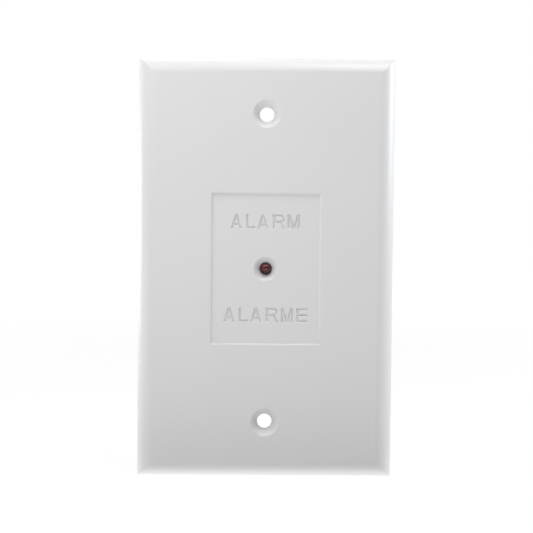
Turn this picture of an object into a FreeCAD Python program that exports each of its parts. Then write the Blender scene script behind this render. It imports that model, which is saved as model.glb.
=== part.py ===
"""Remote alarm indicator for a single wall box.

A moulded cover plate carries a 3 mm lamp behind its recessed panel. Behind the plate a small board
holds the lamp, its series resistor and diode, and a two-way terminal whose screws lift wire cages.

Frame, in millimetres: X to the right and Z up as seen from the front, which faces -Y.
The origin is midway between the two screw holes, in the plane of the wall behind the rim.
"""
import FreeCAD, Part
import math
import os
import re
import Sketcher

# Driving sizes, in millimetres unless a name says degrees
SIZES = {
    # Cover plate, outside
    "plate_width": 69.85,
    "plate_height": 114.3,
    "plate_depth": 5.6,
    "plate_corner_radius": 1.0,
    "rim_height": 1.4,
    "roll_width": 5.2,
    # Cover plate, inside
    "face_wall": 2.5,
    "rim_wall": 1.8,
    "inner_rim_height": 1.0,
    # Recessed panel round the lamp
    "panel_width": 29.2,
    "panel_height": 40.7,
    "panel_recess": 0.5,
    "panel_wall_degrees": 12.0,
    # Screw holes to the wall box
    "screw_spacing": 83.34,
    "screw_hole_diameter": 4.0,
    "screw_sink_diameter": 7.6,
    "screw_sink_degrees": 82.0,
    "screw_boss_diameter": 9.8,
    "screw_boss_bore": 6.6,
    # Lamp well and the collar behind it
    "well_mouth_diameter": 6.6,
    "well_bore_clearance": 0.2,
    "well_cone_depth": 1.6,
    "collar_wall": 1.55,
    "collar_height": 2.5,
    # Stiffening ribs behind the face
    "rib_spacing": 34.0,
    "rib_length": 88.0,
    "rib_thickness": 1.2,
    "rib_height": 2.1,
    "rib_end_slope": 4.0,
    # Board posts behind the face
    "post_spacing": 39.0,
    "post_diameter": 5.4,
    "post_draft_degrees": 1.0,
    "gusset_thickness": 0.9,
    "gusset_reach": 2.2,
    "gusset_height": 4.2,
    # Lamp
    "led_diameter": 3.0,
    "led_length": 5.2,
    "led_flange_diameter": 3.85,
    "led_flange_height": 0.9,
    "led_flat_depth": 0.3,
    "lead_pitch": 2.54,
    "lead_width": 0.5,
    "lead_tail": 1.5,
    "frame_neck_height": 0.65,
    "frame_step": 0.32,
    "frame_web_height": 1.1,
    "frame_shoulder_height": 2.2,
    "anvil_height": 3.0,
    "anvil_head_diameter": 1.2,
    "anvil_head_thickness": 0.6,
    "anvil_half_width": 0.55,
    "cup_mouth_diameter": 0.9,
    "cup_floor_diameter": 0.5,
    "cup_depth": 0.35,
    "led_post_height": 2.8,
    "led_post_gap": 0.25,
    "die_width": 0.3,
    "die_height": 0.15,
    # Spacer between lamp and board
    "spacer_length": 3.0,
    "spacer_diameter": 4.3,
    "spacer_bore_clearance": 0.1,
    # Circuit board
    "board_width": 24.0,
    "board_height": 46.0,
    "board_thickness": 1.6,
    "board_corner_radius": 1.5,
    "lead_hole_clearance": 0.12,
    # Board screws
    "board_screw_diameter": 2.0,
    "board_screw_length": 6.5,
    "board_screw_head_diameter": 4.6,
    "board_screw_head_height": 1.7,
    "board_screw_head_chamfer": 0.6,
    "board_screw_recess_width": 0.6,
    "board_screw_recess_span": 2.4,
    "board_screw_recess_depth": 0.9,
    "board_screw_clearance": 0.4,
    "pilot_clearance": 0.05,
    "pilot_spare_depth": 0.7,
    # Terminal housing
    "pole_pitch": 5.08,
    "terminal_place": -13.6,
    "terminal_length": 8.2,
    "terminal_shoulder": 7.8,
    "terminal_front_slope": 0.8,
    "terminal_back_slope": 1.0,
    "terminal_front_wall": 1.0,
    "terminal_lip": 0.7,
    "terminal_clearance": 0.15,
    "driver_hole_diameter": 3.1,
    "entry_width": 2.6,
    "entry_flare": 0.5,
    # Rising cage
    "cage_width": 3.6,
    "cage_length": 4.4,
    "cage_side_wall": 0.5,
    "cage_floor": 0.7,
    "cage_roof": 1.3,
    "cage_rest_height": 0.3,
    "cage_travel": 2.4,
    "cage_corner_radius": 0.4,
    "clamp_gap": 0.2,
    # Contact bar and solder pin
    "bar_thickness": 0.8,
    "bar_side_gap": 0.1,
    "bar_top_gap": 0.1,
    "bar_start_gap": 0.4,
    "bar_leg_gap": 0.5,
    "pin_width": 1.0,
    "pin_tail": 1.5,
    # Clamping screw
    "clamp_screw_diameter": 2.5,
    "clamp_thread_clearance": 0.08,
    "clamp_tip_gap": 0.05,
    "clamp_head_diameter": 3.6,
    "clamp_head_height": 1.5,
    "clamp_head_gap": 0.2,
    "clamp_slot_width": 0.6,
    "clamp_slot_depth": 0.7,
    # Resistor
    "resistor_place": 7.0,
    "resistor_length": 6.3,
    "resistor_diameter": 2.3,
    "resistor_waist": 2.0,
    "resistor_cap_length": 1.5,
    "resistor_lead_diameter": 0.6,
    # Diode
    "diode_place": 12.2,
    "diode_length": 5.2,
    "diode_diameter": 2.6,
    "diode_edge": 0.3,
    "diode_lead_diameter": 0.8,
    # Leads of both, and how they stand on the board
    "component_pitch": 10.16,
    "component_gap": 0.15,
    "lead_bend_reach": 0.8,
    "component_tail": 1.5,
    # Solder
    "solder_height": 0.9,
    "solder_spread": 0.5,
    "solder_neck": 0.08,
}

# Places worked out from the sizes: Y grows from the face towards the wall and beyond
PANEL_FLOOR_Y = "(panel_recess - plate_depth)"
FACE_BACK_Y = "(face_wall - plate_depth)"
COLLAR_END_Y = f"({FACE_BACK_Y} + collar_height)"
LED_BASE_Y = f"({COLLAR_END_Y} + led_flange_height)"
BOARD_FRONT_Y = f"({LED_BASE_Y} + spacer_length)"
BOARD_REAR_Y = f"({BOARD_FRONT_Y} + board_thickness)"
WELL_BORE = "(led_diameter + 2 * well_bore_clearance)"
LEAD_HOLE = "(1.4143 * lead_width + 2 * lead_hole_clearance)"
PIN_HOLE = "(sqrt(pin_width^2 + bar_thickness^2) + 2 * lead_hole_clearance)"
SCREW_HOLE = "(board_screw_diameter + 2 * board_screw_clearance)"

# Heights in the terminal, from the board's rear face
WINDOW_HEIGHT = "(cage_travel + clamp_gap + bar_thickness + bar_top_gap)"
CAGE_SILL = "(cage_rest_height + cage_floor)"
BAR_TOP = f"({CAGE_SILL} + {WINDOW_HEIGHT} - bar_top_gap)"
CAGE_TOP = f"({CAGE_SILL} + {WINDOW_HEIGHT} + cage_roof)"
HEAD_BASE = f"({CAGE_TOP} + cage_travel + clamp_head_gap)"
HEAD_ROOM_TOP = f"({HEAD_BASE} + clamp_head_height + clamp_head_gap)"
TERMINAL_HEIGHT = f"({HEAD_ROOM_TOP} + terminal_lip)"

# Distances in the terminal, from its wire entry face
CAGE_START = "(terminal_front_wall + terminal_clearance)"
CAGE_MIDDLE = f"({CAGE_START} + cage_length / 2)"
CAGE_ROOM_END = f"({CAGE_START} + cage_length + terminal_clearance)"
BAR_START = f"({CAGE_START} + bar_start_gap)"
LEG_START = f"({CAGE_START} + cage_length + bar_leg_gap)"
LEG_END = f"({LEG_START} + bar_thickness)"
BAR_WIDTH = "(cage_width - 2 * cage_side_wall - 2 * bar_side_gap)"

# How far a cutting shape runs past the face that it opens
OVERCUT = 1

doc = FreeCAD.newDocument("remote_alarm_indicator")
sheet = doc.addObject("Spreadsheet::Sheet", "dim")
for row, (alias, size) in enumerate(SIZES.items(), start=1):
    sheet.set(f"A{row}", alias)
    sheet.set(f"B{row}", str(size))
    sheet.setAlias(f"B{row}", alias)
doc.recompute()


def bind(item, prop, formula):
    """Tie a property to the sheet: each size named in the formula becomes a reference to its cell."""
    tied = re.sub(r"[a-z_]\w*", lambda word: f"dim.{word[0]}" if word[0] in SIZES else word[0], formula)
    item.setExpression(prop, tied)


def value(formula):
    """Work out a formula of sheet sizes, for first guesses and for the closing checks."""
    return float(sheet.evalExpression(formula))


def place(item, across="0", back="0", up="0"):
    """Put an object's own frame at a point of the part's frame."""
    bind(item, "Placement.Base.x", across)
    bind(item, "Placement.Base.y", back)
    bind(item, "Placement.Base.z", up)


def new_body(name):
    """Make an empty body whose label is the node's name."""
    body = doc.addObject("PartDesign::Body", name)
    body.Label = name
    return body


def datum(body, role):
    """Find one of a body's own origin planes or axes."""
    return next(item for item in body.Origin.OriginFeatures if item.Role == role)


def new_sketch(body, name, plane, offset="0"):
    """Lay a sketch on an origin plane of its body, moved along the plane's normal by the offset.

    On XZ_Plane the sketch's axes are X and Z and its normal is -Y, on XY_Plane they are X and Y,
    and on YZ_Plane they are Y and Z.
    """
    sketch = body.newObject("Sketcher::SketchObject", f"{body.Name}_{name}")
    sketch.AttachmentSupport = [(datum(body, plane), "")]
    sketch.MapMode = "FlatFace"
    bind(sketch, "AttachmentOffset.Base.z", offset)
    return sketch


def hold(sketch, kind, geometry, point, formula):
    """Hold a point at a distance from the sketch's origin along one axis."""
    if formula == "0":
        axis = -2 if kind == "DistanceX" else -1
        sketch.addConstraint(Sketcher.Constraint("PointOnObject", geometry, point, axis))
        return
    index = sketch.addConstraint(Sketcher.Constraint(kind, -1, 1, geometry, point, value(formula)))
    bind(sketch, f"Constraints[{index}]", formula)


def measure(sketch, kind, geometry, formula):
    """Give a line its length or a circle its diameter or radius."""
    index = sketch.addConstraint(Sketcher.Constraint(kind, geometry, value(formula)))
    bind(sketch, f"Constraints[{index}]", formula)


def arc_between(start, end, radius, centre_on_left):
    """Make the arc of a radius from start to end, and say whether its own direction runs that way."""
    chord = end - start
    side = FreeCAD.Vector(-chord.y, chord.x, 0).normalize() * (1 if centre_on_left else -1)
    centre = (start + end) / 2 + side * math.sqrt(max(radius**2 - (chord.Length / 2) ** 2, 0))
    first, last = (start, end) if centre_on_left else (end, start)
    angles = [math.atan2((spot - centre).y, (spot - centre).x) for spot in (first, last)]
    circle = Part.Circle(centre, FreeCAD.Vector(0, 0, 1), radius)
    return Part.ArcOfCircle(circle, angles[0], angles[1]), centre_on_left


def outline(sketch, corners, arcs=None):
    """Draw a closed outline through corners given as pairs of formulas.

    arcs tells which sides are round: side number to (radius formula, centre on the left of travel).
    """
    arcs = arcs or {}
    spots = [FreeCAD.Vector(value(across), value(along), 0) for across, along in corners]
    ends = []
    for side, start in enumerate(spots):
        end = spots[(side + 1) % len(spots)]
        if side in arcs:
            radius, on_left = arcs[side]
            shape, forwards = arc_between(start, end, value(radius), on_left)
            index = sketch.addGeometry(shape, False)
            ends.append((index, 1, 2) if forwards else (index, 2, 1))
        else:
            index = sketch.addGeometry(Part.LineSegment(start, end), False)
            ends.append((index, 1, 2))
    for side, (index, start_point, _) in enumerate(ends):
        before, _, before_end = ends[side - 1]
        sketch.addConstraint(Sketcher.Constraint("Coincident", before, before_end, index, start_point))
        hold(sketch, "DistanceX", index, start_point, corners[side][0])
        hold(sketch, "DistanceY", index, start_point, corners[side][1])
    for side, (radius, _) in arcs.items():
        measure(sketch, "Radius", ends[side][0], radius)


def box_outline(sketch, low, high):
    """Draw a rectangle between two opposite corners."""
    outline(sketch, [(low[0], low[1]), (high[0], low[1]), (high[0], high[1]), (low[0], high[1])])


def middle_box(sketch, width, height, across="0", along="0"):
    """Draw a rectangle about a centre."""
    low = (f"({across}) - ({width}) / 2", f"({along}) - ({height}) / 2")
    high = (f"({across}) + ({width}) / 2", f"({along}) + ({height}) / 2")
    box_outline(sketch, low, high)


def rounded_box(sketch, width, height, radius):
    """Draw a rectangle with round corners about the sketch's origin."""
    right, top = f"({width}) / 2", f"({height}) / 2"
    inner_right, inner_top = f"({right} - {radius})", f"({top} - {radius})"
    corners = [
        (inner_right, f"-{top}"),
        (right, f"-{inner_top}"),
        (right, inner_top),
        (inner_right, top),
        (f"-{inner_right}", top),
        (f"-{right}", inner_top),
        (f"-{right}", f"-{inner_top}"),
        (f"-{inner_right}", f"-{top}"),
    ]
    outline(sketch, corners, {side: (radius, True) for side in (0, 2, 4, 6)})


def ring(sketch, diameter, across="0", along="0"):
    """Draw a circle."""
    centre = FreeCAD.Vector(value(across), value(along), 0)
    up = FreeCAD.Vector(0, 0, 1)
    index = sketch.addGeometry(Part.Circle(centre, up, value(diameter) / 2), False)
    hold(sketch, "DistanceX", index, 3, across)
    hold(sketch, "DistanceY", index, 3, along)
    measure(sketch, "Diameter", index, diameter)


def feature(body, kind, name, sketch):
    """Add a PartDesign feature that works from a sketch."""
    item = body.newObject(f"PartDesign::{kind}", f"{body.Name}_{name}")
    item.Profile = sketch
    sketch.Visibility = False
    return item


def pad(body, name, sketch, length, both_ways=False, draft=None):
    """Raise a sketch along its normal, or half the length to each side of it."""
    item = feature(body, "Pad", name, sketch)
    bind(item, "Length", length)
    if both_ways:
        item.SideType = "Symmetric"
    if draft:
        bind(item, "TaperAngle", draft)
    return item


def pocket(body, name, sketch, length=None, both_ways=False, draft=None, flip=False):
    """Cut a sketch against its normal, by a length or right through."""
    item = feature(body, "Pocket", name, sketch)
    if length:
        bind(item, "Length", length)
    else:
        item.Type = "ThroughAll"
    if both_ways:
        item.SideType = "Symmetric"
    if draft:
        bind(item, "TaperAngle", draft)
    item.Reversed = flip
    return item


def turn(body, name, sketch, kind, axis="Y_Axis"):
    """Revolve a sketch a full turn about one of the body's axes, to add or to cut."""
    item = feature(body, kind, name, sketch)
    item.ReferenceAxis = (datum(body, axis), [""])
    item.Angle = 360.0
    return item


def group(name, members):
    """Gather separate solids into one node."""
    item = doc.addObject("Part::Compound", name)
    item.Label = name
    item.Links = members
    return item


def mirrored(name, source, normal):
    """Copy an object across the origin plane that has this normal."""
    item = doc.addObject("Part::Mirroring", name)
    item.Label = name
    item.Source = source
    item.Normal = normal
    return item


def rolled_block(body, width, height, depth, rim, roll):
    """Raise a block from the wall plane whose face runs down to its rim in arcs on all four sides.

    The arcs meet the face without a crease and meet each other in mitres at the corners.
    """
    drop = f"({depth} - {rim})"
    radius = f"(({roll}^2 + {drop}^2) / (2 * {drop}))"
    side, face = f"({width} / 2)", f"(-{depth})"
    section = new_sketch(body, "section", "XY_Plane")
    corners = [
        (f"-{side}", "0"),
        (f"-{side}", f"-{rim}"),
        (f"{roll} - {side}", face),
        (f"{side} - {roll}", face),
        (side, f"-{rim}"),
        (side, "0"),
    ]
    outline(section, corners, {1: (radius, True), 3: (radius, True)})
    pad(body, "bar", section, height, both_ways=True)
    end = f"({height} / 2)"
    ends = new_sketch(body, "end_rolls", "YZ_Plane")
    for sign, on_left in (("", False), ("-", True)):
        corners = [
            (face, f"{sign}({end} - {roll})"),
            (f"-{rim}", f"{sign}{end}"),
            (f"-{rim}", f"{sign}({end} + {OVERCUT})"),
            (f"{face} - {OVERCUT}", f"{sign}({end} + {OVERCUT})"),
            (f"{face} - {OVERCUT}", f"{sign}({end} - {roll})"),
        ]
        outline(ends, corners, {0: (radius, on_left)})
    pocket(body, "end_rolls", ends, f"{width} + 2 * {OVERCUT}", both_ways=True)


def make_plate():
    """Mould the cover plate: rolled shell, bosses, ribs, posts, panel, lamp well and screw holes."""
    plate = new_body("wall_plate")
    rolled_block(plate, "plate_width", "plate_height", "plate_depth", "rim_height", "roll_width")
    trim_plate_corners(plate)
    hollow = new_body("plate_hollow")
    rolled_block(
        hollow,
        "(plate_width - 2 * rim_wall)",
        "(plate_height - 2 * rim_wall)",
        "(plate_depth - face_wall)",
        "inner_rim_height",
        "(roll_width - rim_wall)",
    )
    doc.recompute()
    shell = plate.newObject("PartDesign::Boolean", "wall_plate_shell")
    shell.Type = "Cut"
    shell.setObjects([hollow])
    add_screw_bosses(plate)
    add_collar(plate)
    add_ribs(plate)
    add_board_posts(plate)
    cut_panel(plate)
    cut_lamp_well(plate)
    cut_screw_holes(plate)
    return plate


def trim_plate_corners(plate):
    """Round the plate's four corners as seen from the front."""
    sketch = new_sketch(plate, "corner_trim", "XZ_Plane", f"plate_depth + {OVERCUT}")
    middle_box(sketch, f"plate_width + 4 * {OVERCUT}", f"plate_height + 4 * {OVERCUT}")
    rounded_box(sketch, "plate_width", "plate_height", "plate_corner_radius")
    pocket(plate, "corner_trim", sketch)


def add_screw_bosses(plate):
    """Ring bosses that carry the screw heads' pull straight to the wall plane."""
    sketch = new_sketch(plate, "screw_bosses", "XZ_Plane")
    for sign in ("", "-"):
        ring(sketch, "screw_boss_diameter", along=f"{sign}screw_spacing / 2")
        ring(sketch, "screw_boss_bore", along=f"{sign}screw_spacing / 2")
    pad(plate, "screw_bosses", sketch, "plate_depth - face_wall")


def add_collar(plate):
    """The short tube behind the face that the lamp's flange seats against."""
    sketch = new_sketch(plate, "collar", "XZ_Plane", f"-{COLLAR_END_Y}")
    ring(sketch, f"{WELL_BORE} + 2 * collar_wall")
    pad(plate, "collar", sketch, "collar_height")


def add_ribs(plate):
    """Two upright stiffening ribs whose ends run out in a slope."""
    crest = f"({FACE_BACK_Y} + rib_height)"
    corners = [
        (FACE_BACK_Y, "-rib_length / 2"),
        (crest, "rib_end_slope - rib_length / 2"),
        (crest, "rib_length / 2 - rib_end_slope"),
        (FACE_BACK_Y, "rib_length / 2"),
    ]
    for name, offset in (("left_rib", "-rib_spacing / 2"), ("right_rib", "rib_spacing / 2")):
        sketch = new_sketch(plate, name, "YZ_Plane", offset)
        outline(sketch, corners)
        pad(plate, name, sketch, "rib_thickness", both_ways=True)


def add_board_posts(plate):
    """Two drafted posts with gussets, which the board lies on, with blind pilot holes for its screws."""
    seats = new_sketch(plate, "board_posts", "XZ_Plane", f"-{BOARD_FRONT_Y}")
    for sign in ("", "-"):
        ring(seats, "post_diameter", along=f"{sign}post_spacing / 2")
    pad(plate, "board_posts", seats, f"{BOARD_FRONT_Y} - {FACE_BACK_Y}", draft="post_draft_degrees")
    root = "(post_diameter / 2)"
    start, tip = f"({root} / 2)", f"({root} + gusset_reach)"
    crest = f"({FACE_BACK_Y} + gusset_height)"
    uprights = new_sketch(plate, "upright_gussets", "YZ_Plane")
    for sign in ("", "-"):
        for way in ("+", "-"):
            middle = f"{sign}post_spacing / 2"
            corners = [
                (FACE_BACK_Y, f"{middle} {way} {start}"),
                (FACE_BACK_Y, f"{middle} {way} {tip}"),
                (crest, f"{middle} {way} {root}"),
                (crest, f"{middle} {way} {start}"),
            ]
            outline(uprights, corners)
    pad(plate, "upright_gussets", uprights, "gusset_thickness", both_ways=True)
    for name, sign in (("upper_gussets", ""), ("lower_gussets", "-")):
        level = new_sketch(plate, name, "XY_Plane", f"{sign}post_spacing / 2")
        for way in ("", "-"):
            corners = [
                (f"{way}{start}", FACE_BACK_Y),
                (f"{way}{tip}", FACE_BACK_Y),
                (f"{way}{root}", crest),
                (f"{way}{start}", crest),
            ]
            outline(level, corners)
        pad(plate, name, level, "gusset_thickness", both_ways=True)
    pilots = new_sketch(plate, "pilots", "XZ_Plane", f"-{BOARD_FRONT_Y}")
    for sign in ("", "-"):
        ring(pilots, "board_screw_diameter + 2 * pilot_clearance", along=f"{sign}post_spacing / 2")
    depth = "board_screw_length - board_thickness + pilot_spare_depth"
    pocket(plate, "pilots", pilots, depth, flip=True)


def cut_panel(plate):
    """The shallow recessed panel, whose walls slope in to its floor."""
    sketch = new_sketch(plate, "panel", "XZ_Plane", "plate_depth")
    middle_box(sketch, "panel_width", "panel_height")
    pocket(plate, "panel", sketch, "panel_recess", draft="-panel_wall_degrees")


def cut_lamp_well(plate):
    """A cone from the panel's floor down to the bore that the lamp stands in."""
    sketch = new_sketch(plate, "lamp_well", "XY_Plane")
    floor = f"({PANEL_FLOOR_Y} + well_cone_depth)"
    bore, mouth = f"({WELL_BORE} / 2)", "(well_mouth_diameter / 2)"
    corners = [
        ("0", PANEL_FLOOR_Y),
        (mouth, PANEL_FLOOR_Y),
        (bore, floor),
        (bore, f"{COLLAR_END_Y} + {OVERCUT}"),
        ("0", f"{COLLAR_END_Y} + {OVERCUT}"),
    ]
    outline(sketch, corners)
    turn(plate, "lamp_well", sketch, "Groove")


def cut_screw_holes(plate):
    """Countersunk clearance holes for the two box screws."""
    sketch = new_sketch(plate, "screw_holes", "XZ_Plane", "plate_depth")
    for sign in ("", "-"):
        ring(sketch, "screw_hole_diameter", along=f"{sign}screw_spacing / 2")
    doc.recompute()
    hole = feature(plate, "Hole", "screw_holes", sketch)
    hole.ThreadType = "None"
    hole.DepthType = "ThroughAll"
    hole.HoleCutType = "Countersink"
    hole.HoleCutCustomValues = True
    bind(hole, "Diameter", "screw_hole_diameter")
    bind(hole, "HoleCutDiameter", "screw_sink_diameter")
    bind(hole, "HoleCutCountersinkAngle", "screw_sink_degrees")


def make_lamp_frame():
    """The lamp's two stamped leads, in the lamp's own frame: origin on its base, dome towards -Y."""
    tail = "(spacer_length + board_thickness + lead_tail)"
    outside, inside = "(lead_pitch / 2 + lead_width / 2)", "(lead_pitch / 2 - lead_width / 2)"
    stepped = f"({outside} - frame_step)"
    neck, step_end = "(-frame_neck_height)", "(-frame_neck_height - frame_step)"
    anvil = new_body("led_anvil")
    sheet_outline = new_sketch(anvil, "stamping", "XY_Plane")
    corners = [
        (f"-{outside}", tail),
        (f"-{outside}", neck),
        (f"-{stepped}", step_end),
        (f"-{stepped}", "-frame_shoulder_height"),
        ("-anvil_head_diameter / 2", "-anvil_height"),
        ("anvil_half_width", "-anvil_height"),
        ("anvil_half_width", "-frame_shoulder_height"),
        (f"-{inside}", "-frame_web_height"),
        (f"-{inside}", tail),
    ]
    outline(sheet_outline, corners)
    pad(anvil, "stamping", sheet_outline, "lead_width", both_ways=True)
    head = new_sketch(anvil, "head", "XZ_Plane", "anvil_height")
    ring(head, "anvil_head_diameter")
    pad(anvil, "head", head, "anvil_head_thickness").Reversed = True
    cup = new_sketch(anvil, "cup", "XY_Plane")
    cup_floor = "(cup_depth - anvil_height)"
    corners = [
        ("0", "-anvil_height"),
        ("cup_mouth_diameter / 2", "-anvil_height"),
        ("cup_floor_diameter / 2", cup_floor),
        ("0", cup_floor),
    ]
    outline(cup, corners)
    turn(anvil, "cup", cup, "Groove")
    post = new_body("led_post")
    stamping = new_sketch(post, "stamping", "XY_Plane")
    near = "(anvil_head_diameter / 2 + led_post_gap)"
    corners = [
        (outside, tail),
        (inside, tail),
        (inside, "-frame_web_height"),
        (near, "-frame_shoulder_height"),
        (near, "-led_post_height"),
        (stepped, "-led_post_height"),
        (stepped, step_end),
        (outside, neck),
    ]
    outline(stamping, corners)
    pad(post, "stamping", stamping, "lead_width", both_ways=True)
    die = doc.addObject("Part::Box", "led_die")
    die.Label = "led_die"
    bind(die, "Length", "die_width")
    bind(die, "Width", "die_height")
    bind(die, "Height", "die_width")
    place(die, "-die_width / 2", f"{LED_BASE_Y} + {cup_floor} - die_height", "-die_width / 2")
    for lead in (anvil, post):
        place(lead, back=LED_BASE_Y)
    return anvil, post, die


def make_lens(frame):
    """The lamp's epoxy body, cast round its leads: dome, barrel and a flange with one flat."""
    casting = new_body("led_casting")
    sketch = new_sketch(casting, "profile", "XY_Plane")
    barrel, flange = "(led_diameter / 2)", "(led_flange_diameter / 2)"
    corners = [
        ("0", "0"),
        (flange, "0"),
        (flange, "-led_flange_height"),
        (barrel, "-led_flange_height"),
        (barrel, f"{barrel} - led_length"),
        ("0", "-led_length"),
    ]
    outline(sketch, corners, {4: (barrel, False)})
    turn(casting, "profile", sketch, "Revolution")
    flat = new_sketch(casting, "flat", "XZ_Plane")
    low = (f"-{flange} - {OVERCUT}", f"-{flange} - {OVERCUT}")
    high = (f"led_flat_depth - {flange}", f"{flange} + {OVERCUT}")
    box_outline(flat, low, high)
    pocket(casting, "flat", flat, "led_flange_height", flip=True)
    place(casting, back=LED_BASE_Y)
    leads = doc.addObject("Part::MultiFuse", "lamp_frame")
    leads.Shapes = frame
    lens = doc.addObject("Part::Cut", "led_lens")
    lens.Label = "led_lens"
    lens.Base = casting
    lens.Tool = leads
    return lens


def make_spacer():
    """The nylon tube with two lead bores between the lamp and the board."""
    spacer = new_body("led_spacer")
    sketch = new_sketch(spacer, "section", "XZ_Plane")
    ring(sketch, "spacer_diameter")
    for sign in ("", "-"):
        ring(sketch, "1.4143 * lead_width + 2 * spacer_bore_clearance", f"{sign}lead_pitch / 2")
    pad(spacer, "tube", sketch, "spacer_length")
    place(spacer, back=BOARD_FRONT_Y)
    return spacer


def make_board():
    """The printed circuit board with a hole for every lead, pin and screw."""
    board = new_body("circuit_board")
    sketch = new_sketch(board, "blank", "XZ_Plane")
    rounded_box(sketch, "board_width", "board_height", "board_corner_radius")
    for sign in ("", "-"):
        ring(sketch, SCREW_HOLE, along=f"{sign}post_spacing / 2")
        ring(sketch, LEAD_HOLE, f"{sign}lead_pitch / 2")
        ring(sketch, PIN_HOLE, f"{sign}pole_pitch / 2", f"terminal_place + {LEG_START} + bar_thickness / 2")
        for part in ("resistor", "diode"):
            bore = f"{part}_lead_diameter + 2 * lead_hole_clearance"
            ring(sketch, bore, f"{sign}component_pitch / 2", f"{part}_place")
    pad(board, "blank", sketch, "board_thickness")
    place(board, back=BOARD_REAR_Y)
    return board


def make_board_screws():
    """Screws with a chamfered head and a cross recess, in from the back of the board."""
    screw = new_body("upper_board_screw")
    profile = new_sketch(screw, "profile", "XY_Plane")
    shank, head = "(board_screw_diameter / 2)", "(board_screw_head_diameter / 2)"
    corners = [
        ("0", "-board_screw_length"),
        (shank, "-board_screw_length"),
        (shank, "0"),
        (head, "0"),
        (head, "board_screw_head_height - board_screw_head_chamfer"),
        (f"{head} - board_screw_head_chamfer", "board_screw_head_height"),
        ("0", "board_screw_head_height"),
    ]
    outline(profile, corners)
    turn(screw, "profile", profile, "Revolution")
    recess = new_sketch(screw, "recess", "XZ_Plane", "-board_screw_head_height")
    half, reach = "(board_screw_recess_width / 2)", "(board_screw_recess_span / 2)"
    corners = [
        (half, reach), (half, half), (reach, half), (reach, f"-{half}"),
        (half, f"-{half}"), (half, f"-{reach}"), (f"-{half}", f"-{reach}"), (f"-{half}", f"-{half}"),
        (f"-{reach}", f"-{half}"), (f"-{reach}", half), (f"-{half}", half), (f"-{half}", reach),
    ]
    outline(recess, corners)
    pocket(screw, "recess", recess, "board_screw_recess_depth", flip=True)
    place(screw, back=BOARD_REAR_Y, up="post_spacing / 2")
    lower = mirrored("lower_board_screw", screw, FreeCAD.Vector(0, 0, 1))
    return group("board_screws", [screw, lower])


def make_terminal_housing():
    """The terminal's moulding: sloped shoulders, and for each pole a wire entry, a cage shaft,
    a slot for the contact, a room for the screw head and a driver hole over it.
    """
    housing = new_body("terminal_housing")
    side = new_sketch(housing, "side", "YZ_Plane")
    corners = [
        ("0", "0"),
        ("terminal_shoulder", "0"),
        (TERMINAL_HEIGHT, "terminal_front_slope"),
        (TERMINAL_HEIGHT, "terminal_length - terminal_back_slope"),
        ("terminal_shoulder", "terminal_length"),
        ("0", "terminal_length"),
    ]
    outline(side, corners)
    pad(housing, "block", side, "2 * pole_pitch", both_ways=True)
    shafts = new_sketch(housing, "cage_shafts", "XZ_Plane")
    slots = new_sketch(housing, "contact_slots", "XZ_Plane")
    rooms = new_sketch(housing, "head_rooms", "XZ_Plane")
    drivers = new_sketch(housing, "driver_holes", "XZ_Plane")
    entries = new_sketch(housing, "wire_entries", "XY_Plane")
    flares = new_sketch(housing, "entry_flares", "XY_Plane")
    entry_height = "(cage_travel + clamp_gap)"
    entry_middle = f"({CAGE_SILL} + {entry_height} / 2)"
    half_room = "(cage_width / 2 + terminal_clearance)"
    half_slot = f"({BAR_WIDTH} / 2 + terminal_clearance)"
    for sign in ("", "-"):
        middle = f"({sign}pole_pitch / 2)"
        box_outline(
            shafts,
            (f"{middle} - {half_room}", "terminal_front_wall"),
            (f"{middle} + {half_room}", CAGE_ROOM_END),
        )
        box_outline(
            slots,
            (f"{middle} - {half_slot}", f"{CAGE_ROOM_END} - terminal_clearance"),
            (f"{middle} + {half_slot}", f"{LEG_END} + terminal_clearance"),
        )
        ring(rooms, "clamp_head_diameter + 2 * terminal_clearance", middle, CAGE_MIDDLE)
        ring(drivers, "driver_hole_diameter", middle, CAGE_MIDDLE)
        middle_box(entries, "entry_width", entry_height, middle, entry_middle)
        flared = "entry_width + 2 * entry_flare"
        middle_box(flares, flared, f"{entry_height} + 2 * entry_flare", middle, entry_middle)
    pocket(housing, "cage_shafts", shafts, HEAD_BASE)
    pocket(housing, "contact_slots", slots, f"{BAR_TOP} + terminal_clearance")
    pocket(housing, "head_rooms", rooms, HEAD_ROOM_TOP)
    pocket(housing, "driver_holes", drivers)
    pocket(housing, "wire_entries", entries, f"terminal_front_wall + {OVERCUT}", flip=True)
    pocket(housing, "entry_flares", flares, "entry_flare", draft="-45", flip=True)
    place(housing, back=BOARD_REAR_Y, up="terminal_place")
    return housing


def place_in_pole(item, sign):
    """Set a piece of the terminal over its pole: origin on the board, under the cage's middle."""
    place(item, f"{sign}pole_pitch / 2", BOARD_REAR_Y, f"terminal_place + {CAGE_MIDDLE}")


def make_cage(pole, sign):
    """The rising cage: a square ring round the wire and the contact bar, with the screw's thread on top."""
    cage = new_body(f"clamp_cage_{pole}")
    section = new_sketch(cage, "section", "XY_Plane")
    half, corner = "(cage_width / 2)", "cage_corner_radius"
    corners = [
        (f"-{half} + {corner}", "cage_rest_height"),
        (f"{half} - {corner}", "cage_rest_height"),
        (half, f"cage_rest_height + {corner}"),
        (half, CAGE_TOP),
        (f"-{half}", CAGE_TOP),
        (f"-{half}", f"cage_rest_height + {corner}"),
    ]
    outline(section, corners, {1: (corner, True), 5: (corner, True)})
    opening = f"({half} - cage_side_wall)"
    box_outline(section, (f"-{opening}", CAGE_SILL), (opening, f"{CAGE_SILL} + {WINDOW_HEIGHT}"))
    pad(cage, "frame", section, "cage_length", both_ways=True)
    thread = new_sketch(cage, "thread", "XZ_Plane", f"-{CAGE_TOP}")
    ring(thread, "clamp_screw_diameter + 2 * clamp_thread_clearance")
    pocket(cage, "thread", thread, "cage_roof + bar_top_gap", flip=True)
    place_in_pole(cage, sign)
    return cage


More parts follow.
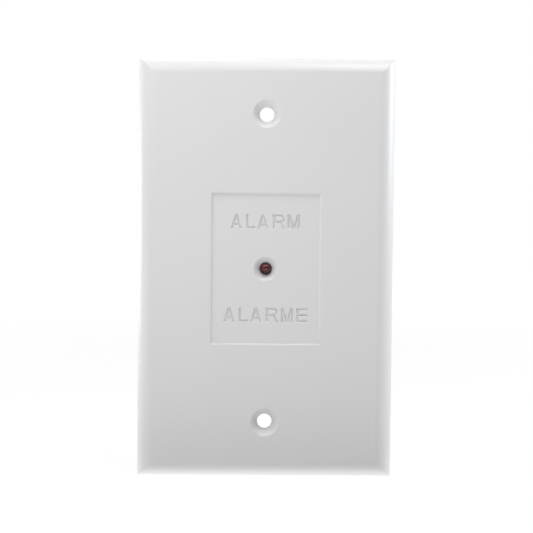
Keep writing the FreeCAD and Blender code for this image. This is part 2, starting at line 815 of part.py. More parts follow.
def make_clamp_screw(pole, sign):
    """The slotted clamping screw, which turns in place while the cage climbs it."""
    screw = new_body(f"clamp_screw_{pole}")
    profile = new_sketch(screw, "profile", "XY_Plane")
    shank, head = "(clamp_screw_diameter / 2)", "(clamp_head_diameter / 2)"
    head_top = f"({HEAD_BASE} + clamp_head_height)"
    tip = f"({BAR_TOP} + clamp_tip_gap)"
    corners = [
        ("0", tip),
        (shank, tip),
        (shank, HEAD_BASE),
        (head, HEAD_BASE),
        (head, head_top),
        ("0", head_top),
    ]
    outline(profile, corners)
    turn(screw, "profile", profile, "Revolution")
    slot = new_sketch(screw, "slot", "XZ_Plane", f"-{head_top}")
    middle_box(slot, f"clamp_head_diameter + 2 * {OVERCUT}", "clamp_slot_width")
    pocket(screw, "slot", slot, "clamp_slot_depth", flip=True)
    place_in_pole(screw, sign)
    return screw


def make_contact(pole, sign):
    """The contact bar that passes through the cage, bent down to the board and ending in a solder pin."""
    contact = new_body(f"contact_{pole}")
    side = new_sketch(contact, "side", "YZ_Plane")
    bar_base = f"({BAR_TOP} - bar_thickness)"
    start, leg_start, leg_end = (f"({spot} - {CAGE_MIDDLE})" for spot in (BAR_START, LEG_START, LEG_END))
    corners = [
        (bar_base, start),
        (BAR_TOP, start),
        (BAR_TOP, leg_end),
        ("0", leg_end),
        ("0", leg_start),
        (bar_base, leg_start),
    ]
    outline(side, corners)
    pad(contact, "bar", side, BAR_WIDTH, both_ways=True)
    pin = new_sketch(contact, "pin", "XZ_Plane")
    middle_box(pin, "pin_width", "bar_thickness", along=f"({leg_start} + {leg_end}) / 2")
    pad(contact, "pin", pin, "board_thickness + pin_tail")
    place_in_pole(contact, sign)
    return contact


def make_leads(part):
    """The pair of bent wire leads of a resistor or diode that lies on the board."""
    wire = new_body(f"{part}_right_lead")
    bore = f"({part}_lead_diameter)"
    axis_height = f"({part}_diameter / 2 + component_gap)"
    foot = "(-board_thickness - component_tail)"
    corner = "(component_pitch / 2)"
    route = new_sketch(wire, "route", "XY_Plane")
    spots = [
        (f"{part}_length / 2", axis_height),
        (f"{corner} - lead_bend_reach", axis_height),
        (corner, f"{axis_height} - lead_bend_reach"),
        (corner, foot),
    ]
    points = [FreeCAD.Vector(value(across), value(along), 0) for across, along in spots]
    for line in range(3):
        route.addGeometry(Part.LineSegment(points[line], points[line + 1]), False)
    for line in (0, 1):
        route.addConstraint(Sketcher.Constraint("Coincident", line, 2, line + 1, 1))
    for (geometry, point), (across, along) in zip(((0, 1), (1, 1), (2, 1), (2, 2)), spots):
        hold(route, "DistanceX", geometry, point, across)
        hold(route, "DistanceY", geometry, point, along)
    section = new_sketch(wire, "section", "YZ_Plane", f"{part}_length / 2")
    ring(section, bore, axis_height)
    doc.recompute()
    pipe = feature(wire, "AdditivePipe", "wire", section)
    pipe.Spine = (route, [f"Edge{number}" for number in (1, 2, 3)])
    pipe.Transition = "Right corner"
    route.Visibility = False
    place(wire, back=BOARD_REAR_Y, up=f"{part}_place")
    left = mirrored(f"{part}_left_lead", wire, FreeCAD.Vector(1, 0, 0))
    return group(f"{part}_leads", [wire, left])


def make_resistor():
    """The resistor's coated body, wider over the two end caps than at its waist."""
    body = new_body("resistor_body")
    profile = new_sketch(body, "profile", "XY_Plane")
    end, cap = "(resistor_length / 2)", "(resistor_diameter / 2)"
    waist = "(resistor_waist / 2)"
    shoulder = f"({end} - resistor_cap_length)"
    cap_inner = f"({shoulder} + {cap} - {waist})"
    corners = [
        (f"-{end}", "0"),
        (f"-{end}", cap),
        (f"-{cap_inner}", cap),
        (f"-{shoulder}", waist),
        (shoulder, waist),
        (cap_inner, cap),
        (end, cap),
        (end, "0"),
    ]
    outline(profile, corners)
    turn(body, "profile", profile, "Revolution", "X_Axis")
    place(body, back=f"{BOARD_REAR_Y} + resistor_diameter / 2 + component_gap", up="resistor_place")
    return body


def make_diode():
    """The diode's moulded body, with broken edges."""
    body = new_body("diode_body")
    profile = new_sketch(body, "profile", "XY_Plane")
    end, wall = "(diode_length / 2)", "(diode_diameter / 2)"
    corners = [
        (f"-{end}", "0"),
        (f"-{end}", f"{wall} - diode_edge"),
        (f"diode_edge - {end}", wall),
        (f"{end} - diode_edge", wall),
        (end, f"{wall} - diode_edge"),
        (end, "0"),
    ]
    outline(profile, corners)
    turn(body, "profile", profile, "Revolution", "X_Axis")
    place(body, back=f"{BOARD_REAR_Y} + diode_diameter / 2 + component_gap", up="diode_place")
    return body


def make_fillet(name, foot, neck, across, back, up, towards_front):
    """One cone of solder round a pin, standing on the board's front or rear face."""
    body = new_body(name)
    profile = new_sketch(body, "profile", "XY_Plane")
    tip = "-solder_height" if towards_front else "solder_height"
    outline(profile, [("0", "0"), (foot, "0"), (neck, tip), ("0", tip)])
    turn(body, "cone", profile, "Revolution")
    place(body, across, back, up)
    return body


def make_solder(leads):
    """Solder on the lamp's leads behind the board and on the terminal's pins in front of it."""
    cones = []
    pin_up = f"terminal_place + {LEG_START} + bar_thickness / 2"
    lead_core = "(1.4143 * lead_width)"
    pin_core = "sqrt(pin_width^2 + bar_thickness^2)"
    joints = [
        ("led", lead_core, "lead_pitch", "0", BOARD_REAR_Y, False),
        ("terminal", pin_core, "pole_pitch", pin_up, BOARD_FRONT_Y, True),
    ]
    for owner, core, pitch, up, back, towards_front in joints:
        foot = f"({core} / 2 + lead_hole_clearance + solder_spread)"
        neck = f"({core} / 2 + solder_neck)"
        for side, sign in (("right", ""), ("left", "-")):
            name = f"{owner}_{side}_solder"
            cones.append(make_fillet(name, foot, neck, f"{sign}{pitch} / 2", back, up, towards_front))
    pins = doc.addObject("Part::Compound", "soldered_pins")
    pins.Links = leads
    heap = doc.addObject("Part::Compound", "solder_cones")
    heap.Links = cones
    solder = doc.addObject("Part::Cut", "solder_fillets")
    solder.Label = "solder_fillets"
    solder.Base = heap
    solder.Tool = pins
    return solder


def build():
    """Make every node and return them in order."""
    plate = make_plate()
    anvil, post, die = make_lamp_frame()
    lens = make_lens([anvil, post, die])
    nodes = [plate, lens, anvil, post, die, make_spacer(), make_board(), make_board_screws()]
    nodes.append(make_terminal_housing())
    contacts = []
    for pole, sign in (("pos", "-"), ("neg", "")):
        nodes.append(make_clamp_screw(pole, sign))
        nodes.append(make_cage(pole, sign))
        contacts.append(make_contact(pole, sign))
    nodes += contacts + [make_resistor(), make_leads("resistor"), make_diode(), make_leads("diode")]
    nodes.append(make_solder([anvil, post] + contacts))
    return nodes


def check(nodes):
    """Stop if any feature failed, or if a node is empty or not valid."""
    for item in doc.Objects:
        if {"Invalid", "Error"} & set(item.State):
            raise RuntimeError(f"{item.Name} failed: {item.State} {item.getStatusString()}")
    for node in nodes:
        if node.Shape.isNull() or not node.Shape.isValid() or not node.Shape.Solids:
            raise RuntimeError(f"{node.Label} has no valid solid")


nodes = build()
doc.recompute()
check(nodes)
os.makedirs("parts", exist_ok=True)
for node in nodes:
    node.Shape.exportStep(f"parts/{node.Label}.step")
    box = node.Shape.BoundBox
    print(
        f"{node.Label:18} {len(node.Shape.Solids)} solid(s) {node.Shape.Volume:9.3f} mm3"
        f"  x {box.XMin:7.2f} {box.XMax:7.2f}  y {box.YMin:6.2f} {box.YMax:6.2f}"
        f"  z {box.ZMin:7.2f} {box.ZMax:7.2f}"
    )
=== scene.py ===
"""Looks of the remote alarm indicator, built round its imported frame.

The frame is in metres: X to the right and Z up as seen from the front, which faces -Y. Sizes in this
script are in millimetres and become metres where a mesh is made.
"""

import logging
import math
from dataclasses import dataclass, field
from enum import Enum
from typing import Callable, Iterable, Sequence

import bmesh
import bpy
from mathutils import Matrix, Vector
from mathutils.geometry import tessellate_polygon

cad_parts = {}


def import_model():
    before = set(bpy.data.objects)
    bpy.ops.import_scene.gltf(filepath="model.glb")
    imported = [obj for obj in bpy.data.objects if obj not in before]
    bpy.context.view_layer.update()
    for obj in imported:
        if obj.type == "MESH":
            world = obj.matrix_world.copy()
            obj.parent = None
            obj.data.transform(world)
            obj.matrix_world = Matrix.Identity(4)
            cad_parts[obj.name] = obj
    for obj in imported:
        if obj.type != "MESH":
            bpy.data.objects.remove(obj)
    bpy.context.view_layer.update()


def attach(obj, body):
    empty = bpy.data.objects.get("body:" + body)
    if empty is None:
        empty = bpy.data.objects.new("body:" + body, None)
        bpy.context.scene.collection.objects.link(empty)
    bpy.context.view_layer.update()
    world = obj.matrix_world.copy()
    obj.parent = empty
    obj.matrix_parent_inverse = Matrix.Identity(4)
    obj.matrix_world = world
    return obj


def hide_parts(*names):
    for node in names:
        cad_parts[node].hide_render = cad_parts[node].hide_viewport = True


MM = 0.001
MERGE_MM = 0.0005
LOG = logging.getLogger("indicator")

Point2 = tuple[float, float]
Point3 = tuple[float, float, float]
Colour = tuple[float, float, float]
Rectangle = tuple[float, float, float, float]
Socket = bpy.types.NodeSocket
Tint = tuple[float, float, float, float] | Socket


class Axis(Enum):
    """The frame axis that a turned shape is turned about."""

    ACROSS = "x"
    DEPTH = "y"


class Cut(Enum):
    """What a tool body does to the piece that it meets."""

    REMOVE = "DIFFERENCE"
    ADD = "UNION"


class Pole(Enum):
    """The terminal's two poles, with the sign of their X."""

    POS = -1
    NEG = 1

    @property
    def tag(self) -> str:
        """The ending that the pole's nodes and bodies have."""
        return self.name.lower()


@dataclass
class NodeGraph:
    """Adds nodes to a shader or geometry tree.

    Attributes:
        tree: The node tree that is written to.
    """

    tree: bpy.types.NodeTree

    def add(self, kind: str, inputs: dict | None = None, **settings: object) -> bpy.types.Node:
        """Add one node.

        Args:
            kind: The node's Blender type.
            inputs: Values or output sockets, by the name or number of the input they go to.
            **settings: Values for the node's own properties.

        Returns:
            The new node.
        """
        node = self.tree.nodes.new(kind)
        for name, setting in settings.items():
            setattr(node, name, setting)
        self.feed(node, inputs or {})
        return node

    def feed(self, node: bpy.types.Node, inputs: dict) -> None:
        """Give a node's inputs, by name or number, their values or links.

        Args:
            node: The node.
            inputs: Values or output sockets, by the input they go to.
        """
        for key, source in inputs.items():
            if isinstance(source, Socket):
                self.tree.links.new(source, node.inputs[key])
            else:
                node.inputs[key].default_value = source

    def calculate(self, operation: str, *values: float | Socket, clamp: bool = False) -> Socket:
        """Add a Math node and return its result."""
        node = self.add("ShaderNodeMath", dict(enumerate(values)), operation=operation, use_clamp=clamp)
        return node.outputs[0]

    def blend(self, share: float | Socket, first: Tint, second: Tint) -> Socket:
        """Mix two colours.

        Args:
            share: How much of the second colour shows.
            first: The colour, or socket, at a share of 0.
            second: The colour, or socket, at a share of 1.

        Returns:
            The mixed colour.
        """
        return self.add("ShaderNodeMix", {0: share, 6: first, 7: second}, data_type="RGBA").outputs[2]

    def ranged(
        self, source: Socket, low: float, high: float, to_low: float | Socket, to_high: float | Socket
    ) -> Socket:
        """Carry a value from one range to another, held at both ends."""
        limits = {0: source, 1: low, 2: high, 3: to_low, 4: to_high}
        return self.add("ShaderNodeMapRange", limits).outputs[0]

    def place(self) -> Socket:
        """The point that is shaded, in Object coordinates."""
        return self.add("ShaderNodeTexCoord").outputs["Object"]

    def part(self, vector: Socket, number: int) -> Socket:
        """One of a vector's three parts."""
        return self.add("ShaderNodeSeparateXYZ", {0: vector}).outputs[number]

    def noise(self, place: Socket, scale: float | Socket, detail: float, roughness: float = 0.5) -> Socket:
        """Add a Noise texture and return its value."""
        inputs = {"Vector": place, "Scale": scale, "Detail": detail, "Roughness": roughness}
        return self.add("ShaderNodeTexNoise", inputs).outputs["Fac"]


def emptied(owner: bpy.types.Material | bpy.types.World) -> NodeGraph:
    """Switch an owner's nodes on and take the ready-made ones out.

    Args:
        owner: The material or world.

    Returns:
        A graph for its empty tree.
    """
    owner.use_nodes = True
    owner.node_tree.nodes.clear()
    return NodeGraph(owner.node_tree)


def rgba(colour: Colour) -> tuple[float, float, float, float]:
    """Give a colour its alpha."""
    return (*colour, 1.0)


WHITE = rgba((1.0, 1.0, 1.0))
BLACK = rgba((0.0, 0.0, 0.0))


def new_group(name: str, inputs: dict, values_out: Iterable[str]) -> tuple[NodeGraph, dict, bpy.types.Node]:
    """Start a shader node group that gives a Colour and some values.

    Args:
        name: The group's name.
        inputs: Each input's default value by its name; a tuple makes a colour socket.
        values_out: Names of the outputs besides the Colour.

    Returns:
        The graph, its input sockets by name, and the node that takes its outputs.
    """
    tree = bpy.data.node_groups.new(name, "ShaderNodeTree")
    for title, value in inputs.items():
        kind = "NodeSocketColor" if isinstance(value, tuple) else "NodeSocketFloat"
        tree.interface.new_socket(title, in_out="INPUT", socket_type=kind).default_value = value
    tree.interface.new_socket("Colour", in_out="OUTPUT", socket_type="NodeSocketColor")
    for title in values_out:
        tree.interface.new_socket(title, in_out="OUTPUT", socket_type="NodeSocketFloat")
    graph = NodeGraph(tree)
    entry = graph.add("NodeGroupInput")
    return graph, {s.name: s for s in entry.outputs if s.name}, graph.add("NodeGroupOutput")


@dataclass
class Effects:
    """The shader groups that several finishes share, each built once.

    Attributes:
        built: The groups that were built so far, by name.
    """

    built: dict[str, bpy.types.NodeTree] = field(default_factory=dict)

    def get(self, name: str) -> bpy.types.NodeTree:
        """Find a group by name and build it the first time.

        Args:
            name: The group's name.

        Returns:
            The group.
        """
        makers: dict[str, Callable[[], bpy.types.NodeTree]] = {
            "moulded_skin": self.moulded_skin,
            "fine_dust": self.fine_dust,
            "drawn_lines": self.drawn_lines,
        }
        if name not in self.built:
            self.built[name] = makers[name]()
        return self.built[name]

    def moulded_skin(self) -> bpy.types.NodeTree:
        """Spark-eroded grain with a slow drift of tone, as a moulding takes from its tool.

        Returns:
            The group.
        """
        graph, given, result = new_group(
            "moulded_skin",
            {"Colour": rgba((0.8, 0.8, 0.8)), "Deep Colour": rgba((0.7, 0.7, 0.7)), "Grain": 4000.0,
             "Drift": 60.0, "Roughness": 0.4, "Spread": 0.08},
            ("Roughness", "Height"),
        )
        place = graph.place()
        grain = graph.noise(place, given["Grain"], 3.0, 0.55)
        drift = graph.noise(place, given["Drift"], 2.0)
        share = graph.calculate("MULTIPLY", graph.ranged(drift, 0.3, 0.7, 0.0, 1.0), 0.6)
        share = graph.calculate("ADD", share, graph.calculate("MULTIPLY", grain, 0.25), clamp=True)
        offset = graph.calculate("MULTIPLY", graph.calculate("SUBTRACT", grain, 0.5), given["Spread"])
        graph.feed(result, {
            "Colour": graph.blend(share, given["Colour"], given["Deep Colour"]),
            "Roughness": graph.calculate("ADD", given["Roughness"], offset, clamp=True), "Height": grain,
        })
        return graph.tree

    def fine_dust(self) -> bpy.types.NodeTree:
        """A trace of dust that settles on what faces up.

        Returns:
            The group.
        """
        graph, given, result = new_group(
            "fine_dust",
            {"Colour": rgba((0.8, 0.8, 0.8)), "Dust Colour": rgba((0.5, 0.48, 0.45)), "Amount": 0.15},
            ("Mask",),
        )
        upward = graph.part(graph.add("ShaderNodeNewGeometry").outputs["Normal"], 2)
        specks = graph.noise(graph.place(), 2500.0, 4.0, 0.7)
        lying = graph.ranged(upward, 0.5, 1.0, 0.0, 1.0)
        mask = graph.calculate("MULTIPLY", lying, graph.ranged(specks, 0.5, 0.62, 0.0, 1.0))
        mask = graph.calculate("MULTIPLY", mask, given["Amount"])
        graph.feed(result, {
            "Colour": graph.blend(mask, given["Colour"], given["Dust Colour"]), "Mask": mask,
        })
        return graph.tree

    def drawn_lines(self) -> bpy.types.NodeTree:
        """Fine lines and tarnish patches on worked metal, stretched along one direction by the Stretch.

        Returns:
            The group.
        """
        graph, given, result = new_group(
            "drawn_lines",
            {"Colour": rgba((0.7, 0.7, 0.7)), "Dull Colour": rgba((0.5, 0.5, 0.5)), "Stretch X": 1.0,
             "Stretch Y": 1.0, "Stretch Z": 1.0, "Roughness": 0.3, "Spread": 0.12},
            ("Roughness", "Height"),
        )
        place = graph.place()
        stretch = {number: given[f"Stretch {axis}"] for number, axis in enumerate("XYZ")}
        along = graph.add("ShaderNodeCombineXYZ", stretch).outputs[0]
        scaled = graph.add("ShaderNodeVectorMath", {0: place, 1: along}, operation="MULTIPLY").outputs[0]
        lines = graph.noise(scaled, 9000.0, 2.0, 0.6)
        dull = graph.ranged(graph.noise(place, 900.0, 3.0, 0.6), 0.45, 0.75, 0.0, 0.7)
        both = graph.calculate("ADD", graph.calculate("SUBTRACT", lines, 0.5), dull)
        offset = graph.calculate("MULTIPLY", both, given["Spread"])
        graph.feed(result, {
            "Colour": graph.blend(dull, given["Colour"], given["Dull Colour"]),
            "Roughness": graph.calculate("ADD", given["Roughness"], offset), "Height": lines,
        })
        return graph.tree


EFFECTS = Effects()


@dataclass(frozen=True)
class Finish:
    """What every finish has: a name, and the way from its own nodes to a surface.

    Attributes:
        name: The material's name.
    """

    name: str

    def build(self) -> bpy.types.Material:
        """Make the material.

        Returns:
            The material.
        """
        material = bpy.data.materials.new(self.name)
        graph = emptied(material)
        surface = graph.add("ShaderNodeBsdfPrincipled", self.surface(graph))
        graph.add("ShaderNodeOutputMaterial", {"Surface": surface.outputs[0]})
        return material

    def surface(self, graph: NodeGraph) -> dict:
        """What goes into the Principled surface, by input; each kind of finish says its own."""
        raise NotImplementedError

    def effect(self, graph: NodeGraph, name: str, values: dict) -> bpy.types.Node:
        """Place a shared effect group with this finish's own values."""
        return graph.add("ShaderNodeGroup", values, node_tree=EFFECTS.get(name))

    def relief(self, graph: NodeGraph, height: Socket, depth_mm: float) -> Socket:
        """Turn a height, which runs from 0 to 1 over the depth, into the surface's normal."""
        return graph.add("ShaderNodeBump", {"Height": height, "Distance": depth_mm * MM}).outputs[0]


@dataclass(frozen=True)
class MouldedPlastic(Finish):
    """Injection-moulded thermoplastic.

    Attributes:
        colour: Its colour.
        deep_colour: The tone that it drifts to.
        grain_mm: Size of the tool's grain.
        grain_depth_mm: Depth of the tool's grain.
        roughness: Mean roughness.
        dust: How much dust lies on what faces up.
        glow: Share of light that scatters inside.
    """

    colour: Colour = (0.8, 0.8, 0.8)
    deep_colour: Colour = (0.77, 0.77, 0.77)
    grain_mm: float = 0.25
    grain_depth_mm: float = 0.004
    roughness: float = 0.4
    dust: float = 0.05
    glow: float = 0.0

    def surface(self, graph: NodeGraph) -> dict:
        """What goes into the surface.

        Args:
            graph: The material's graph.

        Returns:
            Values and links by the inputs of the Principled surface.
        """
        skin = self.effect(graph, "moulded_skin", {
            "Colour": rgba(self.colour), "Deep Colour": rgba(self.deep_colour),
            "Grain": 1.0 / (self.grain_mm * MM), "Roughness": self.roughness,
        })
        dust = self.effect(graph, "fine_dust", {"Colour": skin.outputs["Colour"], "Amount": self.dust})
        return {
            "Base Color": dust.outputs["Colour"],
            "Roughness": graph.calculate("ADD", skin.outputs["Roughness"], dust.outputs["Mask"], clamp=True),
            "Normal": self.relief(graph, skin.outputs["Height"], self.grain_depth_mm),
            "Subsurface Weight": self.glow, "Subsurface Radius": (1.0, 0.9, 0.7),
            "Subsurface Scale": 0.5 * MM,
        }


@dataclass(frozen=True)
class PlatedMetal(Finish):
    """Plated or tinned metal with the lines of how it was worked.

    Attributes:
        colour: Its reflected colour.
        dull_colour: Where the plating has dulled.
        stretch: How the lines are squeezed along X, Y and Z; a small number draws them out.
        roughness: Mean roughness.
        spread: How much the roughness changes over the surface.
        line_depth_mm: Depth of the lines.
    """

    colour: Colour = (0.7, 0.7, 0.7)
    dull_colour: Colour = (0.5, 0.5, 0.5)
    stretch: Point3 = (1.0, 1.0, 1.0)
    roughness: float = 0.3
    spread: float = 0.12
    line_depth_mm: float = 0.002

    def surface(self, graph: NodeGraph) -> dict:
        """What goes into the surface.

        Args:
            graph: The material's graph.

        Returns:
            Values and links by the inputs of the Principled surface.
        """
        lines = self.effect(graph, "drawn_lines", {
            "Colour": rgba(self.colour), "Dull Colour": rgba(self.dull_colour),
            "Stretch X": self.stretch[0], "Stretch Y": self.stretch[1], "Stretch Z": self.stretch[2],
            "Roughness": self.roughness, "Spread": self.spread,
        })
        return {
            "Base Color": lines.outputs["Colour"], "Roughness": lines.outputs["Roughness"], "Metallic": 1.0,
            "Normal": self.relief(graph, lines.outputs["Height"], self.line_depth_mm),
        }


@dataclass(frozen=True)
class TintedEpoxy(Finish):
    """The lamp's clear cast epoxy.

    Attributes:
        colour: The tint that light takes on its way through.
        roughness: Roughness of the cast surface.
    """

    colour: Colour = (0.4, 0.03, 0.03)
    roughness: float = 0.05

    def surface(self, graph: NodeGraph) -> dict:
        """What goes into the surface, with the faint ripple of a casting.

        Args:
            graph: The material's graph.

        Returns:
            Values and links by the inputs of the Principled surface.
        """
        ripple = graph.noise(graph.place(), 1500.0, 1.0)
        return {
            "Base Color": rgba(self.colour), "Transmission Weight": 1.0, "IOR": 1.53,
            "Roughness": graph.ranged(ripple, 0.3, 0.7, self.roughness * 0.6, self.roughness * 1.4),
            "Normal": self.relief(graph, ripple, 0.002),
        }


@dataclass(frozen=True)
class BoardFinish(Finish):
    """Solder mask over woven glass on the faces, bare laminate along the sawn edges.

    Attributes:
        mask_colour: The mask where nothing lies under it.
        weave_colour: The mask over the threads of the glass cloth.
        laminate_colour: The sawn edge.
        weave_mm: Distance between threads.
    """

    mask_colour: Colour = (0.006, 0.095, 0.036)
    weave_colour: Colour = (0.009, 0.125, 0.050)
    laminate_colour: Colour = (0.42, 0.36, 0.19)
    weave_mm: float = 0.45

    def surface(self, graph: NodeGraph) -> dict:
        """What goes into the surface.

        Args:
            graph: The material's graph.

        Returns:
            Values and links by the inputs of the Principled surface.
        """
        place = graph.place()
        depthward = graph.part(graph.add("ShaderNodeNewGeometry").outputs["Normal"], 1)
        on_face = graph.calculate("GREATER_THAN", graph.calculate("ABSOLUTE", depthward), 0.6)
        # The Wave texture runs through 20 radians in a unit, and a wave spans two threads.
        bands = math.pi / (self.weave_mm * MM) / 20
        threads = [
            graph.add(
                "ShaderNodeTexWave", {"Vector": place, "Scale": bands, "Distortion": 0.4, "Detail": 1.0},
                wave_type="BANDS", bands_direction=direction,
            ).outputs["Fac"]
            for direction in ("X", "Z")
        ]
        weave = graph.calculate("MULTIPLY", *threads)
        mask = graph.blend(weave, rgba(self.mask_colour), rgba(self.weave_colour))
        squeezed = {0: place, 1: (1.0, 9.0, 1.0)}
        flattened = graph.add("ShaderNodeVectorMath", squeezed, operation="MULTIPLY").outputs[0]
        layers = graph.ranged(graph.noise(flattened, 1500.0, 3.0), 0.35, 0.65, 0.0, 1.0)
        darker = rgba(tuple(0.55 * tone for tone in self.laminate_colour))
        edge = graph.blend(layers, rgba(self.laminate_colour), darker)
        dust = self.effect(graph, "fine_dust", {"Colour": graph.blend(on_face, edge, mask), "Amount": 0.1})
        return {
            "Base Color": dust.outputs["Colour"], "Roughness": graph.ranged(on_face, 0.0, 1.0, 0.75, 0.28),
            "Normal": self.relief(graph, weave, 0.006),
        }


@dataclass(frozen=True)
class PaintedFinish(Finish):
    """Lacquer or print with a soft mottle.

    Attributes:
        colour: Its colour.
        roughness: Its roughness.
        speck_mm: Size of the mottle.
        depth_mm: Depth of the mottle.
    """

    colour: Colour = (0.8, 0.8, 0.8)
    roughness: float = 0.35
    speck_mm: float = 0.3
    depth_mm: float = 0.004

    def surface(self, graph: NodeGraph) -> dict:
        """What goes into the surface, a little darker where the mottle is deep.

        Args:
            graph: The material's graph.

        Returns:
            Values and links by the inputs of the Principled surface.
        """
        speck = graph.noise(graph.place(), 1.0 / (self.speck_mm * MM), 2.0)
        shade = graph.ranged(speck, 0.35, 0.65, 0.12, 0.0)
        return {
            "Base Color": graph.blend(shade, self.pattern(graph), BLACK),
            "Roughness": graph.ranged(speck, 0.3, 0.7, self.roughness * 0.8, self.roughness * 1.2),
            "Normal": self.relief(graph, speck, self.depth_mm),
        }

    def pattern(self, graph: NodeGraph) -> Tint:
        """The colour before the mottle."""
        return rgba(self.colour)


@dataclass(frozen=True)
class BandedFinish(PaintedFinish):
    """A painted body with rings of other colours round it, placed along X.

    Attributes:
        half_length: Half the body's length, in millimetres.
        bands: For each ring, where it starts and ends along X in millimetres, and its colour.
    """

    half_length: float = 3.0
    bands: tuple[tuple[float, float, Colour], ...] = ()

    def pattern(self, graph: NodeGraph) -> Tint:
        """The colour before the mottle, with each ring one step of a colour ramp.

        Args:
            graph: The material's graph.

        Returns:
            The colour's socket.
        """
        reach = self.half_length * MM
        along = graph.ranged(graph.part(graph.place(), 0), -reach, reach, 0.0, 1.0)
        node = graph.add("ShaderNodeValToRGB", {0: along})
        ramp = node.color_ramp
        ramp.interpolation = "CONSTANT"
        ramp.elements[0].color = rgba(self.colour)
        ramp.elements.remove(ramp.elements[1])
        for start, end, colour in self.bands:
            for spot, tint in ((start, colour), (end, self.colour)):
                step = ramp.elements.new((spot + self.half_length) / (2 * self.half_length))
                step.color = rgba(tint)
        return node.outputs["Color"]


@dataclass
class Finishes:
    """Every finish of the object, all made into materials when the first one is asked for.

    Attributes:
        made: The materials by their finish's name.
    """

    made: dict[str, bpy.types.Material] = field(default_factory=dict)

    RESISTOR_BANDS = (
        (-2.45, -1.95, (0.20, 0.06, 0.02)),
        (-1.20, -0.75, (0.01, 0.01, 0.01)),
        (-0.15, 0.30, (0.45, 0.02, 0.015)),
        (1.90, 2.35, (0.45, 0.30, 0.07)),
    )
    DIODE_BANDS = ((1.35, 2.05, (0.60, 0.60, 0.58)),)

    def catalogue(self) -> tuple[Finish, ...]:
        """List the finishes.

        Returns:
            The finishes, each with its own values.
        """
        return (
            MouldedPlastic(
                "plate_white", (0.80, 0.797, 0.80), (0.785, 0.782, 0.785),
                grain_mm=0.22, grain_depth_mm=0.0025, roughness=0.40, dust=0.03,
            ),
            MouldedPlastic(
                "terminal_blue", (0.012, 0.10, 0.36), (0.010, 0.08, 0.31),
                grain_mm=0.12, grain_depth_mm=0.004, roughness=0.38, dust=0.04,
            ),
            MouldedPlastic(
                "natural_nylon", (0.80, 0.78, 0.70), (0.74, 0.71, 0.62),
                grain_mm=0.15, grain_depth_mm=0.003, roughness=0.42, dust=0.05, glow=0.3,
            ),
            TintedEpoxy("red_epoxy", (0.17, 0.010, 0.012), roughness=0.06),
            PlatedMetal(
                "tinned_wire", (0.78, 0.77, 0.75), (0.60, 0.59, 0.57),
                stretch=(1.0, 0.08, 1.0), roughness=0.28, spread=0.14,
            ),
            PlatedMetal("zinc_screw", (0.72, 0.73, 0.75), (0.52, 0.53, 0.55), roughness=0.30, spread=0.16),
            PlatedMetal(
                "nickel_cage", (0.76, 0.74, 0.70), (0.58, 0.56, 0.52),
                stretch=(1.0, 1.0, 0.06), roughness=0.26, spread=0.14,
            ),
            PlatedMetal(
                "tinned_brass", (0.80, 0.78, 0.72), (0.62, 0.58, 0.48),
                stretch=(0.08, 1.0, 1.0), roughness=0.32, spread=0.16,
            ),
            PlatedMetal(
                "bright_solder", (0.80, 0.80, 0.81), (0.66, 0.66, 0.68),
                roughness=0.16, spread=0.10, line_depth_mm=0.001,
            ),
            PlatedMetal(
                "gold_wire", (0.95, 0.70, 0.28), (0.85, 0.60, 0.22),
                roughness=0.22, spread=0.05, line_depth_mm=0.0002,
            ),
            PlatedMetal(
                "lamp_chip", (0.30, 0.27, 0.20), (0.22, 0.19, 0.12),
                roughness=0.40, spread=0.1, line_depth_mm=0.0005,
            ),
            BoardFinish("board_green"),
            PaintedFinish("masked_copper", (0.020, 0.20, 0.075), roughness=0.25, speck_mm=0.5),
            PaintedFinish("white_ink", (0.78, 0.78, 0.74), roughness=0.55, speck_mm=0.12),
            BandedFinish(
                "resistor_lacquer", (0.56, 0.40, 0.22), roughness=0.30, speck_mm=0.25, depth_mm=0.006,
                half_length=3.15, bands=self.RESISTOR_BANDS,
            ),
            BandedFinish(
                "diode_black", (0.012, 0.012, 0.013), roughness=0.38, speck_mm=0.15, depth_mm=0.006,
                half_length=2.6, bands=self.DIODE_BANDS,
            ),
        )

    def get(self, name: str) -> bpy.types.Material:
        """Find a material by its finish's name.

        Args:
            name: One of the catalogue's names.

        Returns:
            The material.
        """
        if not self.made:
            self.made = {finish.name: finish.build() for finish in self.catalogue()}
        return self.made[name]


FINISHES = Finishes()


def add_object(name: str, mesh: bpy.types.Mesh) -> bpy.types.Object:
    """Put a mesh into the scene at the origin.

    Args:
        name: The object's name.
        mesh: Its mesh, which holds its place too.

    Returns:
        The new object.
    """
    item = bpy.data.objects.new(name, mesh)
    bpy.context.scene.collection.objects.link(item)
    return item


def shape(name: str, points: Iterable[Point3], faces: Iterable[Sequence[int]]) -> bpy.types.Object:
    """Make an object from points in millimetres, with doubles merged and faces turned outwards.

    Args:
        name: The object's name.
        points: The corners, in millimetres.
        faces: For each face, the numbers of its corners.

    Returns:
        The new object.
    """
    mesh = bpy.data.meshes.new(name)
    mesh.from_pydata([tuple(part * MM for part in point) for point in points], [], [list(f) for f in faces])
    outward(mesh)
    return add_object(name, mesh)


def outward(mesh: bpy.types.Mesh, merge_mm: float = MERGE_MM) -> None:
    """Merge a closed mesh's doubles and turn its faces outwards.

    Args:
        mesh: The mesh, which is changed.
        merge_mm: Distance up to which corners are merged, in millimetres.
    """
    work = bmesh.new()
    work.from_mesh(mesh)
    bmesh.ops.remove_doubles(work, verts=work.verts, dist=merge_mm * MM)
    bmesh.ops.recalc_face_normals(work, faces=work.faces)
    work.to_mesh(mesh)
    work.free()


def drop(item: bpy.types.Object) -> None:
    """Delete an object and its mesh.

    Args:
        item: The object.
    """
    mesh = item.data
    bpy.data.objects.remove(item)
    bpy.data.meshes.remove(mesh)


